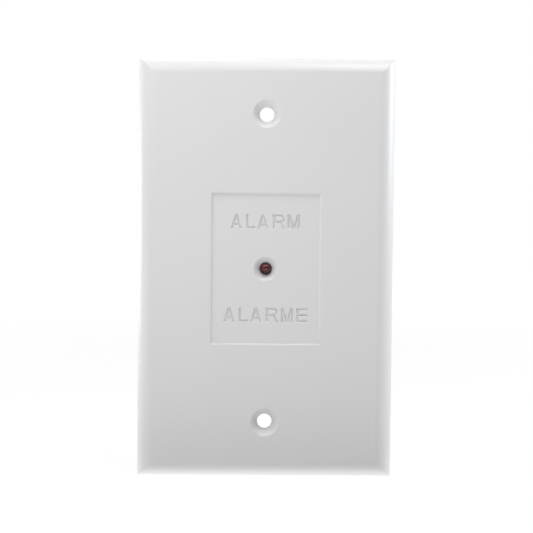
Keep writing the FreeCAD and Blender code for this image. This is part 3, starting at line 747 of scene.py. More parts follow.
def bake(item: bpy.types.Object) -> bpy.types.Object:
    """Turn an object's modifiers into its own mesh.

    Args:
        item: The object, which loses its modifiers.

    Returns:
        The same object.
    """
    bpy.context.view_layer.update()
    mesh = bpy.data.meshes.new_from_object(item.evaluated_get(bpy.context.evaluated_depsgraph_get()))
    item.modifiers.clear()
    old = item.data
    item.data = mesh
    bpy.data.meshes.remove(old)
    mesh.name = item.name
    return item


def turned(
    name: str, profile: Sequence[Point2], centre: Point3, axis: Axis = Axis.DEPTH, segments: int = 48
) -> bpy.types.Object:
    """Turn a closed profile about an axis.

    Args:
        name: The object's name.
        profile: Pairs of radius and distance along the axis, from one end of the axis to the other.
        centre: A point on the axis, in millimetres; the profile's distances are counted from it.
        axis: Which way the axis runs.
        segments: Number of steps round.

    Returns:
        The turned object.
    """
    points: list[Point3] = []
    for step in range(segments):
        angle = 2 * math.pi * step / segments
        for radius, along in profile:
            across, up = radius * math.cos(angle), radius * math.sin(angle)
            if axis is Axis.DEPTH:
                points.append((centre[0] + across, centre[1] + along, centre[2] + up))
            else:
                points.append((centre[0] + along, centre[1] + across, centre[2] + up))
    count = len(profile)
    faces = []
    for step in range(segments):
        here, there = step * count, (step + 1) % segments * count
        faces += [(here + k, here + k + 1, there + k + 1, there + k) for k in range(count - 1)]
    return shape(name, points, faces)


def prism(name: str, outline: Sequence[Point2], start: float, end: float) -> bpy.types.Object:
    """Raise an outline in the XZ plane from one Y to another, all in millimetres.

    Args:
        name: The object's name.
        outline: The outline's corners in X and Z.
        start: Y where it starts.
        end: Y where it ends.

    Returns:
        A closed body.
    """
    count = len(outline)
    points = [(x, y, z) for y in (start, end) for x, z in outline]
    sides = [(k, (k + 1) % count, count + (k + 1) % count, count + k) for k in range(count)]
    return shape(name, points, [tuple(range(count)), tuple(range(count, 2 * count)), *sides])


def widened(loop: Sequence[Point2], amount: float) -> list[Point2]:
    """Move an outline's sides to their right by an amount, with sharp corners held a little back.

    Args:
        loop: The outline's corners in order.
        amount: How far the sides move, in millimetres.

    Returns:
        The moved corners.
    """
    longest = 1.35
    moved = []
    for before, corner, after in zip([loop[-1], *loop[:-1]], loop, [*loop[1:], loop[0]]):
        sides = ((before, corner), (corner, after))
        ways = [(Vector(end) - Vector(start)).normalized() for start, end in sides]
        right = [Vector((way.y, -way.x)) for way in ways]
        reach = (right[0] + right[1]) / (1.0 + right[0].dot(right[1]))
        reach *= min(1.0, longest / reach.length)
        moved.append(tuple(Vector(corner) + amount * reach))
    return moved


def lofted(
    name: str, loops: Sequence[Sequence[Point2]], levels: Sequence[tuple[float, float]]
) -> bpy.types.Object:
    """Raise an outline with holes through levels at which it is more or less wide.

    Args:
        name: The object's name.
        loops: The outline, anticlockwise in X and Z, and its holes, clockwise, in millimetres.
        levels: For each level, its Y and how much wider it is on each side.

    Returns:
        A closed body.
    """
    rings = [[widened(loop, wider) for loop in loops] for _, wider in levels]
    points = [(x, y, z) for (y, _), ring in zip(levels, rings) for loop in ring for x, z in loop]
    count = sum(len(loop) for loop in loops)
    faces = []
    first = 0
    for loop in loops:
        for step in range(len(loop)):
            here, there = first + step, first + (step + 1) % len(loop)
            for base in range(0, count * (len(levels) - 1), count):
                faces.append((base + here, base + there, base + count + there, base + count + here))
        first += len(loop)
    for level in (0, len(levels) - 1):
        flat = [[Vector((x, z, 0.0)) for x, z in loop] for loop in rings[level]]
        faces += [tuple(level * count + corner for corner in face) for face in tessellate_polygon(flat)]
    return shape(name, points, faces)


def block(name: str, low: Point3, high: Point3) -> bpy.types.Object:
    """Make a box between two corners, in millimetres."""
    outline = [(low[0], low[2]), (high[0], low[2]), (high[0], high[2]), (low[0], high[2])]
    return prism(name, outline, low[1], high[1])


def joined(name: str, items: Sequence[bpy.types.Object]) -> bpy.types.Object:
    """Put several objects' meshes into one object.

    Args:
        name: The object's name.
        items: The objects, which are deleted.

    Returns:
        The new object.
    """
    work = bmesh.new()
    for item in items:
        work.from_mesh(item.data)
    mesh = bpy.data.meshes.new(name)
    work.to_mesh(mesh)
    work.free()
    for item in items:
        drop(item)
    return add_object(name, mesh)


def machine(item: bpy.types.Object, tool: bpy.types.Object, way: Cut = Cut.REMOVE) -> bpy.types.Object:
    """Cut a tool body out of a piece, or add it to the piece, and delete the tool body.

    Args:
        item: The piece.
        tool: The tool body.
        way: Whether the tool body is cut out or added.

    Returns:
        The piece.
    """
    step = item.modifiers.new("cut", "BOOLEAN")
    step.object = tool
    step.operation = way.value
    step.solver = "EXACT"
    bake(item)
    drop(tool)
    return item


def soften(item: bpy.types.Object, width: float, segments: int = 2, angle: float = 30.0) -> bpy.types.Object:
    """Round an object's sharp edges.

    Args:
        item: The object.
        width: Width of the rounding, in millimetres.
        segments: Steps across the rounding.
        angle: Smallest fold that counts as sharp, in degrees.

    Returns:
        The same object.
    """
    step = item.modifiers.new("soften", "BEVEL")
    step.width = width * MM
    step.segments = segments
    step.limit_method = "ANGLE"
    step.angle_limit = math.radians(angle)
    step.use_clamp_overlap = True
    return bake(item)


def copied(node: str, name: str) -> bpy.types.Object:
    """Copy a frame node's mesh into a closed mesh of the scene's own, with its flat faces whole.

    Args:
        node: The frame node's name.
        name: The new object's name.

    Returns:
        The copy.
    """
    mesh = bpy.data.objects[node].data.copy()
    mesh.name = name
    for layer in ("custom_normal", "sharp_edge"):
        if layer in mesh.attributes:
            mesh.attributes.remove(mesh.attributes[layer])
    work = bmesh.new()
    work.from_mesh(mesh)
    flat = math.radians(0.2)
    bmesh.ops.remove_doubles(work, verts=work.verts, dist=MERGE_MM * MM)
    bmesh.ops.dissolve_limit(work, angle_limit=flat, verts=work.verts, edges=work.edges, delimit={"NORMAL"})
    work.to_mesh(mesh)
    work.free()
    mesh.materials.clear()
    return add_object(name, mesh)


def even_shading(item: bpy.types.Object, angle: float) -> None:
    """Shade smooth with hard edges past an angle, and let large faces keep their own direction.

    Args:
        item: The object.
        angle: Smallest fold that stays a hard edge, in degrees.
    """
    item.data.shade_smooth()
    item.data.set_sharp_from_angle(angle=math.radians(angle))
    step = item.modifiers.new("even_shading", "WEIGHTED_NORMAL")
    step.keep_sharp = True
    step.weight = 100


def paint(item: bpy.types.Object, finish: str) -> None:
    """Give a piece its material and report it.

    Args:
        item: The piece.
        finish: Its finish's name.
    """
    item.data.materials.clear()
    item.data.materials.append(FINISHES.get(finish))
    LOG.info("piece %s: %d faces, %s", item.name, len(item.data.polygons), finish)


def fit(
    item: bpy.types.Object, angle: float, finish: str, body: str = "plate",
    stands_for: Sequence[str] = (),
) -> None:
    """Give a piece its shading and finish and hand it to the frame.

    Args:
        item: The finished mesh.
        angle: Smallest fold that stays a hard edge, in degrees; 0 leaves every face flat.
        finish: Its finish's name.
        body: The frame body that it rides on.
        stands_for: Frame nodes that it replaces.
    """
    if angle:
        even_shading(item, angle)
    paint(item, finish)
    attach(item, body)
    if stands_for:
        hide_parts(*stands_for)


@dataclass
class GrowthTree:
    """A Geometry Nodes tree that grows a mesh from loose points or lines, with named inputs.

    Attributes:
        name: The tree's name.
        inputs: Each number input's default by its name.
    """

    name: str
    inputs: dict[str, float]

    def __post_init__(self) -> None:
        """Start the tree with its sockets."""
        tree = bpy.data.node_groups.new(self.name, "GeometryNodeTree")
        tree.interface.new_socket("Geometry", in_out="INPUT", socket_type="NodeSocketGeometry")
        for title, value in self.inputs.items():
            kind = "NodeSocketInt" if isinstance(value, int) else "NodeSocketFloat"
            tree.interface.new_socket(title, in_out="INPUT", socket_type=kind).default_value = value
        tree.interface.new_socket("Geometry", in_out="OUTPUT", socket_type="NodeSocketGeometry")
        self.graph = NodeGraph(tree)
        entry = self.graph.add("NodeGroupInput")
        self.given = {socket.name: socket for socket in entry.outputs if socket.name}

    def swept(self, curve: Socket, section: Socket) -> Socket:
        """Draw a section along a curve, closed at both ends."""
        inputs = {"Curve": curve, "Profile Curve": section, "Fill Caps": True}
        return self.graph.add("GeometryNodeCurveToMesh", inputs).outputs[0]

    def placed(
        self, instance: Socket, rotation: Point3 | Socket, scale: Point3 | Socket = (1.0, 1.0, 1.0)
    ) -> Socket:
        """Put an instance on every point.

        Args:
            instance: What is put there.
            rotation: Its turn, as a value or a socket.
            scale: Its scale, in the same way.

        Returns:
            The instances.
        """
        inputs = {
            "Points": self.given["Geometry"], "Instance": instance, "Rotation": rotation, "Scale": scale,
        }
        return self.graph.add("GeometryNodeInstanceOnPoints", inputs).outputs[0]

    def section(self, width: Socket, height: Socket) -> Socket:
        """A rectangular outline."""
        inputs = {"Width": width, "Height": height}
        return self.graph.add("GeometryNodeCurvePrimitiveQuadrilateral", inputs).outputs[0]

    def close(self, grown: Socket, finish: str) -> None:
        """End the tree: real geometry with its material.

        Args:
            grown: The grown geometry.
            finish: The finish's name.
        """
        real = self.graph.add("GeometryNodeRealizeInstances", {0: grown}).outputs[0]
        dressed = self.graph.add("GeometryNodeSetMaterial", {"Geometry": real})
        dressed.inputs["Material"].default_value = FINISHES.get(finish)
        self.graph.add("NodeGroupOutput", {0: dressed.outputs[0]})

    def grow(
        self,
        name: str,
        points: Sequence[Point3],
        lines: Sequence[tuple[int, int]] = (),
        sizes: Sequence[float] = (),
        **values: float,
    ) -> bpy.types.Object:
        """Run the tree.

        Args:
            name: The grown object's name.
            points: Where it grows, in millimetres.
            lines: Pairs of point numbers that are joined.
            sizes: For each point, its value of the attribute "size".
            **values: Input values by name, with _ for a space.

        Returns:
            An object with the plain mesh.
        """
        seed = bpy.data.meshes.new(name)
        seed.from_pydata([tuple(part * MM for part in point) for point in points], list(lines), [])
        if sizes:
            seed.attributes.new("size", "FLOAT", "POINT").data.foreach_set("value", list(sizes))
        item = add_object(name, seed)
        step = item.modifiers.new("grow", "NODES")
        step.node_group = self.graph.tree
        wanted = {key.replace("_", " "): value for key, value in values.items()}
        for socket in self.graph.tree.interface.items_tree:
            if socket.in_out == "INPUT" and socket.name in wanted:
                step[socket.identifier] = wanted[socket.name]
        return bake(item)


def arc(centre: Point2, radius: float, start: float, end: float, steps: int) -> list[Point2]:
    """Points along an arc, from and to angles in degrees, both ends included.

    Args:
        centre: The arc's centre.
        radius: Its radius.
        start: The angle where it starts, in degrees.
        end: The angle where it ends.
        steps: Number of steps.

    Returns:
        The points, both ends included.
    """
    angles = [math.radians(start + (end - start) * step / steps) for step in range(steps + 1)]
    return [(centre[0] + radius * math.cos(a), centre[1] + radius * math.sin(a)) for a in angles]


@dataclass(frozen=True)
class Lettering:
    """Plain block capitals drawn from strokes of one width, in millimetres.

    Attributes:
        height: Height of a capital.
        stroke: Width of a stroke.
        widths: Each letter's width.
        spare: Extra room after a letter.
    """

    height: float = 3.6
    stroke: float = 0.36
    widths: dict[str, float] = field(
        default_factory=lambda: {"A": 2.8, "L": 2.15, "R": 3.1, "M": 3.05, "E": 2.75}
    )
    spare: dict[str, float] = field(default_factory=lambda: {"A": 0.45, "M": 0.3})

    def outlines(self, letter: str) -> list[list[Point2]]:
        """Draw one letter.

        Args:
            letter: The capital.

        Returns:
            Its outline, and after it its hole where it has one.
        """
        draw = {
            "A": self.letter_a, "L": self.letter_l, "R": self.letter_r, "M": self.letter_m,
            "E": self.letter_e,
        }[letter]
        return draw(self.widths[letter])

    def letter_a(self, w: float) -> list[list[Point2]]:
        """Two legs and a bar.

        Args:
            w: The letter's width.

        Returns:
            Its outline, and after it its hole where it has one.
        """
        h, s = self.height, self.stroke
        crown = 0.6 * s
        lean = (w / 2 - crown) / h
        leg = s * math.hypot(1.0, lean)
        bar = 0.23 * h

        def inner(level: float) -> float:
            """X of the left leg's inner edge at a height."""
            return leg + lean * level

        outer = [
            (0, 0), (leg, 0), (inner(bar), bar), (w - inner(bar), bar), (w - leg, 0), (w, 0),
            (w / 2 + crown, h), (w / 2 - crown, h),
        ]
        top = bar + s
        hole = [(inner(top), top), (w - inner(top), top), (w / 2, (w / 2 - leg) / lean)]
        return [outer, hole]

    def letter_l(self, w: float) -> list[list[Point2]]:
        """A stem and a foot."""
        h, s = self.height, self.stroke
        return [[(0, 0), (w, 0), (w, s), (s, s), (s, h), (0, h)]]

    def letter_e(self, w: float) -> list[list[Point2]]:
        """A stem and three arms.

        Args:
            w: The letter's width.

        Returns:
            Its outline, and after it its hole where it has one.
        """
        h, s = self.height, self.stroke
        low, high, arm = (h - s) / 2, (h + s) / 2, 0.92 * w
        return [[
            (0, 0), (w, 0), (w, s), (s, s), (s, low), (arm, low), (arm, high), (s, high), (s, h - s),
            (w, h - s), (w, h), (0, h),
        ]]

    def letter_m(self, w: float) -> list[list[Point2]]:
        """Two stems and a vee down to the foot line.

        Args:
            w: The letter's width.

        Returns:
            Its outline, and after it its hole where it has one.
        """
        h, s = self.height, self.stroke
        drop_in, toe, cap = 1.9 * s, 0.45 * s, 1.35 * s
        slope = (h - drop_in) / (w / 2 - toe - s)
        vee = h - slope * (w / 2 - cap)
        return [[
            (0, 0), (s, 0), (s, h - drop_in), (w / 2 - toe, 0), (w / 2 + toe, 0), (w - s, h - drop_in),
            (w - s, 0), (w, 0), (w, h), (w - cap, h), (w / 2, vee), (cap, h), (0, h),
        ]]

    def letter_r(self, w: float) -> list[list[Point2]]:
        """A stem, a bowl and a leg.

        Args:
            w: The letter's width.

        Returns:
            Its outline, and after it its hole where it has one.
        """
        h, s = self.height, self.stroke
        waist = 0.44 * h
        radius = (h - waist) / 2
        middle = (0.96 * w - radius, waist + radius)
        bowl = [arc(middle, radius, -72, 0, 1)[0], *arc(middle, radius, -45, 90, 9)]
        leg = 1.2 * s
        knee = bowl[0][0] - leg
        outer = [(0, 0), (s, 0), (s, waist), (knee, waist), (w - leg, 0), (w, 0)]
        hole = [(s, waist + s), *arc(middle, radius - s, -90, 90, 12), (s, h - s)]
        return [[*outer, *bowl, (0, h)], hole]

    def word(self, text: str, width: float, centre: Point2) -> list[list[list[Point2]]]:
        """Set a word so that it has a given width and centre.

        Args:
            text: The capitals.
            width: From the first letter's left to the last one's right.
            centre: The word's middle in X and Z.

        Returns:
            For each letter, its outline, anticlockwise, and its holes, clockwise, in X and Z.
        """
        steps = [self.widths[letter] + self.spare.get(letter, 0.0) for letter in text]
        gap = (width - sum(steps)) / (len(text) - 1)
        left, base = centre[0] - width / 2, centre[1] - self.height / 2
        placed = []
        for letter, step in zip(text, steps):
            loops = [[(left + x, base + z) for x, z in loop] for loop in self.outlines(letter)]
            placed.append([loops[0], *(hole[::-1] for hole in loops[1:])])
            left += step + gap
        return placed


@dataclass
class CoverPlate:
    """The moulded plate: the frame's own shape with its fine edges, engraving and tool marks.

    Attributes:
        letters: How the capitals are drawn.
        words: For each word, its text, its width, and its middle in X and Z.
        panel: Width and height of the recessed panel.
        panel_face: Y of the panel's floor.
        brow: Radius of the edge round the panel.
        fine_edge: Radius of the front's other edges.
        engraving: Depth of the letters.
        lip: Width and depth of the bevel along the letters' edges.
        draft: How much the letters' walls lean below that.
        fold: Smallest fold that counts as an edge, in degrees.
        back_face: Y of the face's back.
        pin_places: Middles of the ejector pins' marks on the back.
    """

    letters: Lettering = field(default_factory=Lettering)
    words: tuple[tuple[str, float, Point2], ...] = (
        ("ALARM", 18.7, (0.0, 12.80)), ("ALARME", 22.6, (0.12, -12.48)),
    )
    panel: Point2 = (29.2, 40.7)
    panel_face: float = -5.1
    brow: float = 0.38
    fine_edge: float = 0.10
    engraving: float = 0.47
    lip: float = 0.25
    draft: float = 0.04
    fold: float = 24.0
    back_face: float = -3.1
    pin_places: tuple[Point2, ...] = (
        (-24, 36), (24, 36), (-24, 0), (24, 0), (-24, -36), (24, -36), (-9, 30), (9, -30),
    )

    def build(self) -> None:
        """Make the plate."""
        plate = copied("wall_plate", "cover_plate")
        self.round_edges(plate)
        machine(plate, self.engraving_tool())
        machine(plate, self.pin_marks())
        fit(plate, self.fold, "plate_white", stands_for=["wall_plate"])

    def round_edges(self, plate: bpy.types.Object) -> None:
        """Round the edges that the front shows: the panel's brow widely, the others finely.

        Args:
            plate: The plate.
        """
        work = bmesh.new()
        work.from_mesh(plate.data)
        for on_brow, radius, steps in ((True, self.brow, 4), (False, self.fine_edge, 2)):
            chosen = [edge for edge in work.edges if self.is_sharp(edge) and self.is_brow(edge) is on_brow]
            bmesh.ops.bevel(
                work, geom=chosen, offset=radius * MM, segments=steps, profile=0.5, affect="EDGES",
                clamp_overlap=True,
            )
        work.to_mesh(plate.data)
        work.free()

    def is_sharp(self, edge: bmesh.types.BMEdge) -> bool:
        """Whether an edge lies well in front of the face's back and folds sharply.

        Args:
            edge: The edge.

        Returns:
            True where both hold.
        """
        margin = 0.6
        folds = edge.is_manifold and edge.calc_face_angle() > math.radians(self.fold)
        return folds and all(corner.co.y < (self.back_face - margin) * MM for corner in edge.verts)

    def is_brow(self, edge: bmesh.types.BMEdge) -> bool:
        """Whether an edge is the one between the plate's face and the panel's walls.

        Args:
            edge: The edge.

        Returns:
            True where both its ends lie on that outline.
        """
        slack = 0.2
        half_width, half_height = self.panel[0] / 2, self.panel[1] / 2

        def on_outline(corner: bmesh.types.BMVert) -> bool:
            """Whether a corner lies on the panel's outline, in front of its floor.

            Args:
                corner: The corner.

            Returns:
                True where it does.
            """
            x, y, z = (abs(part) / MM for part in corner.co)
            inside = x < half_width + slack and z < half_height + slack
            at_side = x > half_width - slack or z > half_height - slack
            return inside and at_side and y > abs(self.panel_face) + slack

        return all(on_outline(corner) for corner in edge.verts)

    def engraving_tool(self) -> bpy.types.Object:
        """The cutter for both words: steep-walled slots whose mouths open into bevelled lips.

        Returns:
            The tool bodies as one object.
        """
        above, mouth = 1.0, self.draft + self.lip
        levels = (
            (self.panel_face - above, mouth), (self.panel_face, mouth),
            (self.panel_face + self.lip, self.draft), (self.panel_face + self.engraving, 0.0),
        )
        letters = [
            lofted("letter", loops, levels)
            for text, width, middle in self.words
            for loops in self.letters.word(text, width, middle)
        ]
        return joined("engraving_tool", letters)

    def pin_marks(self) -> bpy.types.Object:
        """Shallow round marks that the ejector pins leave on the back of the face.

        Returns:
            The tool bodies as one object.
        """
        depth, radius = 0.12, 2.0
        profile = [(0, -depth), (radius - 0.1, -depth), (radius, 0.3), (0, 0.3)]
        marks = [turned("mark", profile, (x, self.back_face, z), segments=32) for x, z in self.pin_places]
        return joined("pin_marks", marks)


@dataclass
class Lamp:
    """The 3 mm lamp: epoxy body round its stamped leads, with its bond wire, on a nylon spacer.

    Attributes:
        base: Y of the lens's base.
        flange_radius: Radius of the flange.
        flange_height: Height of the flange.
        barrel_radius: Radius of barrel and dome.
        length: From base to the dome's tip.
        flat: How far the flange's flat is cut in.
    """

    base: float = 0.3
    flange_radius: float = 1.925
    flange_height: float = 0.9
    barrel_radius: float = 1.5
    length: float = 5.2
    flat: float = 0.3

    def build(self) -> None:
        """Make the lamp's pieces."""
        self.lens()
        self.bond_wire()
        for node, finish in (
            ("led_anvil", "tinned_wire"), ("led_post", "tinned_wire"), ("led_die", "lamp_chip"),
            ("led_spacer", "natural_nylon"),
        ):
            paint(bpy.data.objects[node], finish)

    def lens(self) -> None:
        """The cast body, solid round what stands in it, with a small radius at every edge."""
        neck = self.base - self.flange_height
        dome = self.base - self.length + self.barrel_radius
        ease = 0.08
        cap = arc((0, dome), self.barrel_radius, 0, -85, 17)
        profile = [
            (0, self.base), (self.flange_radius - ease, self.base), (self.flange_radius, self.base - ease),
            (self.flange_radius, neck + ease), (self.flange_radius - ease, neck),
            (self.barrel_radius + ease, neck), (self.barrel_radius, neck - ease), *cap,
            (0, self.base - self.length),
        ]
        lens = turned("lamp_lens", profile, (0, 0, 0), segments=72)
        reach, room = self.flange_radius - self.flat, 3.0
        machine(lens, block("flat", (-room, neck - 0.01, -room), (-reach, self.base + 1, room)))
        fit(lens, 35.0, "red_epoxy", stands_for=["led_lens"])

    def bond_wire(self) -> None:
        """The hair-fine wire from the chip to the post."""
        chip, crest, post = (0.0, -2.50, 0.0), (0.45, -2.95, 0.0), (1.0, -2.51, 0.0)
        radius, sides = 0.02, 8
        wire = tube("bond_wire", bezier_points(chip, crest, post, 14), radius, sides)
        fit(wire, 60.0, "gold_wire")


def bezier_points(start: Point3, middle: Point3, end: Point3, steps: int) -> list[Vector]:
    """Points along a smooth bow that is pulled towards its middle point.

    Args:
        start: Where it starts.
        middle: The point that pulls it.
        end: Where it ends.
        steps: Number of steps.

    Returns:
        The points, both ends included.
    """
    a, b, c = Vector(start), Vector(middle), Vector(end)
    shares = [step / steps for step in range(steps + 1)]
    return [(1 - t) ** 2 * a + 2 * t * (1 - t) * b + t**2 * c for t in shares]


def tube(name: str, path: Sequence[Vector], radius: float, sides: int = 24) -> bpy.types.Object:
    """Sweep a circle along points in one plane that holds them all.

    Args:
        name: The object's name.
        path: Points in millimetres, in a plane of constant Z.
        radius: The tube's radius.
        sides: Number of steps round.

    Returns:
        A closed tube.
    """
    points: list[Point3] = []
    up = Vector((0, 0, 1))
    for number, spot in enumerate(path):
        before = path[max(number - 1, 0)]
        after = path[min(number + 1, len(path) - 1)]
        heading = (after - before).normalized()
        side = heading.cross(up)
        for step in range(sides):
            angle = 2 * math.pi * step / sides
            points.append(tuple(spot + radius * (math.cos(angle) * side + math.sin(angle) * up)))
    faces = []
    for ring in range(len(path) - 1):
        for step in range(sides):
            following = (step + 1) % sides
            faces.append((
                ring * sides + step, ring * sides + following,
                (ring + 1) * sides + following, (ring + 1) * sides + step,
            ))
    last = (len(path) - 1) * sides
    faces += [tuple(range(sides)), tuple(range(last, last + sides))]
    return shape(name, points, faces)


@dataclass
class LampBoard:
    """The circuit board with its pads, traces, print and vias.

    Attributes:
        front: Y of the face towards the plate.
        rear: Y of the face with the parts.
        pins: For each lead's pad, X, Z and the hole's radius.
        vias: The same for the plated holes that join both faces' copper.
        rear_traces: Runs of copper on the face with the parts, as points in X and Z.
        front_traces: The same on the face towards the plate.
        borders: Printed outlines, each from its left, lower corner to its right, upper one.
        strokes: Printed bars, given in the same way.
        dot_place: X and Z of a printed dot.
    """

    front: float = 3.3
    rear: float = 4.9
    pins: tuple[tuple[float, float, float], ...] = (
        (1.27, 0.0, 0.48), (-1.27, 0.0, 0.48), (2.54, -7.15, 0.77), (-2.54, -7.15, 0.77),
        (5.08, 7.0, 0.42), (-5.08, 7.0, 0.42), (5.08, 12.2, 0.52), (-5.08, 12.2, 0.52),
    )
    vias: tuple[tuple[float, float, float], ...] = ((8.6, 4.0, 0.24), (-8.3, 0.5, 0.24))
    rear_traces: tuple[tuple[Point2, ...], ...] = (
        ((-2.54, -7.15), (-8.3, -1.39), (-8.3, 3.78), (-5.08, 7.0)),
        ((5.08, 12.2), (5.08, 3.81), (1.27, 0.0)),
        ((2.54, -7.15), (8.6, -1.09), (8.6, 14.5), (7.0, 16.1), (-1.18, 16.1), (-5.08, 12.2)),
    )
    front_traces: tuple[tuple[Point2, ...], ...] = (
        ((-1.27, 0.0), (-1.27, -3.34), (2.54, -7.15)),
        ((-2.54, -7.15), (-8.3, -1.39), (-8.3, 0.5)),
        ((2.54, -7.15), (8.6, -1.09), (8.6, 4.0)),
    )
    borders: tuple[Rectangle, ...] = (
        (-3.7, 5.4, 3.7, 8.6), (-3.2, 10.4, 3.2, 14.0), (-5.6, -14.1, 5.6, -4.9),
    )
    strokes: tuple[Rectangle, ...] = (
        (2.35, 10.56, 2.65, 13.84), (-3.24, -15.62, -1.84, -15.38), (1.84, -15.62, 3.24, -15.38),
        (-2.66, -16.2, -2.42, -15.62), (-2.66, -15.38, -2.42, -14.8),
    )
    dot_place: Point2 = (-9.5, 19.5)

    def build(self) -> None:
        """Dress the board and make what lies on it."""
        paint(bpy.data.objects["circuit_board"], "board_green")
        self.pads()
        self.traces()
        self.printed_marks()

    def pads(self) -> None:
        """Tinned rings round every lead hole, on both faces, and small plated vias."""
        tree = GrowthTree("ring_pads", {"Inner": 1.0, "Outer": 1.9, "Rise": 0.09, "Steps": 40})
        graph, given = tree.graph, tree.given
        middle = graph.calculate("DIVIDE", graph.calculate("ADD", given["Inner"], given["Outer"]), 2.0)
        breadth = graph.calculate("SUBTRACT", given["Outer"], given["Inner"])
        loop = graph.add("GeometryNodeCurvePrimitiveCircle", {"Resolution": given["Steps"], "Radius": middle})
        ring = tree.swept(loop.outputs[0], tree.section(breadth, given["Rise"]))
        size = graph.add("GeometryNodeInputNamedAttribute", {"Name": "size"}, data_type="FLOAT")
        upright = (math.radians(90), 0, 0)
        tree.close(tree.placed(ring, upright, size.outputs["Attribute"]), "bright_solder")
        rings = self.pins + self.vias
        spots = [(x, y, z) for y in (self.front, self.rear) for x, z, _ in rings]
        sizes = [radius * MM for _ in range(2) for _, _, radius in rings]
        pads = tree.grow("board_pads", spots, sizes=sizes)
        outward(pads.data)
        fit(pads, 40.0, "bright_solder")

    def traces(self) -> None:
        """Copper runs under the mask, with eased corners."""
        tree = GrowthTree("copper_runs", {"Width": 0.7 * MM, "Rise": 0.05 * MM, "Ease": 0.5 * MM})
        graph, given = tree.graph, tree.given
        runs = graph.add("GeometryNodeMeshToCurve", {"Mesh": given["Geometry"]})
        eased = graph.add("GeometryNodeFilletCurve", {"Curve": runs.outputs[0], "Radius": given["Ease"]})
        section = tree.section(given["Width"], given["Rise"])
        tree.close(tree.swept(eased.outputs[0], section), "masked_copper")
        for side, level, runs_here in (
            ("rear", self.rear, self.rear_traces), ("front", self.front, self.front_traces),
        ):
            points: list[Point3] = []
            lines = []
            for run in runs_here:
                lines += [(len(points) + k, len(points) + k + 1) for k in range(len(run) - 1)]
                points += [(x, z, 0.0) for x, z in run]
            item = tree.grow(f"board_traces_{side}", points, lines)
            upright = Matrix.Rotation(math.radians(90), 4, "X")
            item.data.transform(Matrix.Translation((0, level * MM, 0)) @ upright)
            outward(item.data)
            fit(item, 40.0, "masked_copper")

    def printed_marks(self) -> None:
        """White print: outlines of the parts, a bar at the diode, the poles' signs and a dot."""
        line, rise, sunk, dot = 0.16, 0.015, 0.005, 0.35
        low, high = self.rear - sunk, self.rear + rise
        marks: list[Rectangle] = []
        for left, bottom, right, top in self.borders:
            foot, head = bottom + line, top - line
            marks += [
                (left, bottom, right, foot), (left, head, right, top),
                (left, foot, left + line, head), (right - line, foot, right, head),
            ]
        marks += self.strokes
        bars = [block("bar", (left, low, foot), (right, high, head)) for left, foot, right, head in marks]
        profile = [(0, low), (dot, low), (dot, high), (0, high)]
        bars.append(turned("dot", profile, (self.dot_place[0], 0, self.dot_place[1]), segments=24))
        fit(joined("board_print", bars), 0.0, "white_ink")


@dataclass
class BoardFasteners:
    """The two screws that hold the board, with domed heads, cross recesses and threads.

    Attributes:
        seat: Y of the board's rear face, which the heads bear on.
        places: X and Z of the screws.
        shank: Radius of the shank.
        head: Radius of the head.
        height: Height of the head.
        length: Length under the head.
        pitch: Rise of the thread in one turn.
    """

    seat: float = 4.9
    places: tuple[Point2, ...] = ((0.0, 19.5), (0.0, -19.5))
    shank: float = 1.0
    head: float = 2.3
    height: float = 1.7
    length: float = 6.5
    pitch: float = 0.9

    def build(self) -> None:
        """Make the screws."""
        master = self.screw()
        tree = GrowthTree("placed_screws", {"Size": 1.0, "Seed": 7})
        graph, given = tree.graph, tree.given
        source = graph.add("GeometryNodeObjectInfo", {"Object": master})
        turn = graph.add(
            "FunctionNodeRandomValue", {2: 0.0, 3: math.tau, "Seed": given["Seed"]}, data_type="FLOAT"
        ).outputs[1]
        angle = graph.add("ShaderNodeCombineXYZ", {1: turn}).outputs[0]
        tree.close(tree.placed(source.outputs["Geometry"], angle, given["Size"]), "zinc_screw")
        screws = tree.grow("board_screw_pair", [(x, self.seat, z) for x, z in self.places], Seed=7)
        drop(master)
        fit(screws, 35.0, "zinc_screw", stands_for=["board_screws"])

    def screw(self) -> bpy.types.Object:
        """One screw with its seat at the origin and its head towards +Y.

        Returns:
            The screw as one object.
        """
        root, taper, crown, ease = 0.8 * self.shank, 0.9, 0.75, 0.1
        profile = [
            (0, -self.length), (0.35 * self.shank, -self.length), (root, taper - self.length), (root, 0),
            (self.head - ease, 0), (self.head, ease),
            *arc((self.head - crown, self.height - crown), crown, 0, 80, 6), (0, self.height),
        ]
        screw = turned("screw", profile, (0, 0, 0), segments=48)
        reach, half_width, depth = 1.2, 0.30, 0.95
        cross, arm = (
            prism("slot", tapered_slot(reach, half_width, turn), self.height - depth, self.height + 0.5)
            for turn in (0.0, 90.0)
        )
        machine(screw, machine(cross, arm, Cut.ADD))
        ridge = thread("ridge", root, self.shank, self.pitch, taper - self.length, -0.2)
        return joined("screw", [screw, ridge])


def tapered_slot(reach: float, half: float, turn: float) -> list[Point2]:
    """A long six-sided outline for one arm pair of a cross recess.

    Args:
        reach: Half its length.
        half: Half its width.
        turn: Its angle in degrees.

    Returns:
        The outline in X and Z.
    """
    end = 0.6 * half
    corners = [(-reach, -end), (0, -half), (reach, -end), (reach, end), (0, half), (-reach, end)]
    c, s = math.cos(math.radians(turn)), math.sin(math.radians(turn))
    return [(x * c - z * s, x * s + z * c) for x, z in corners]


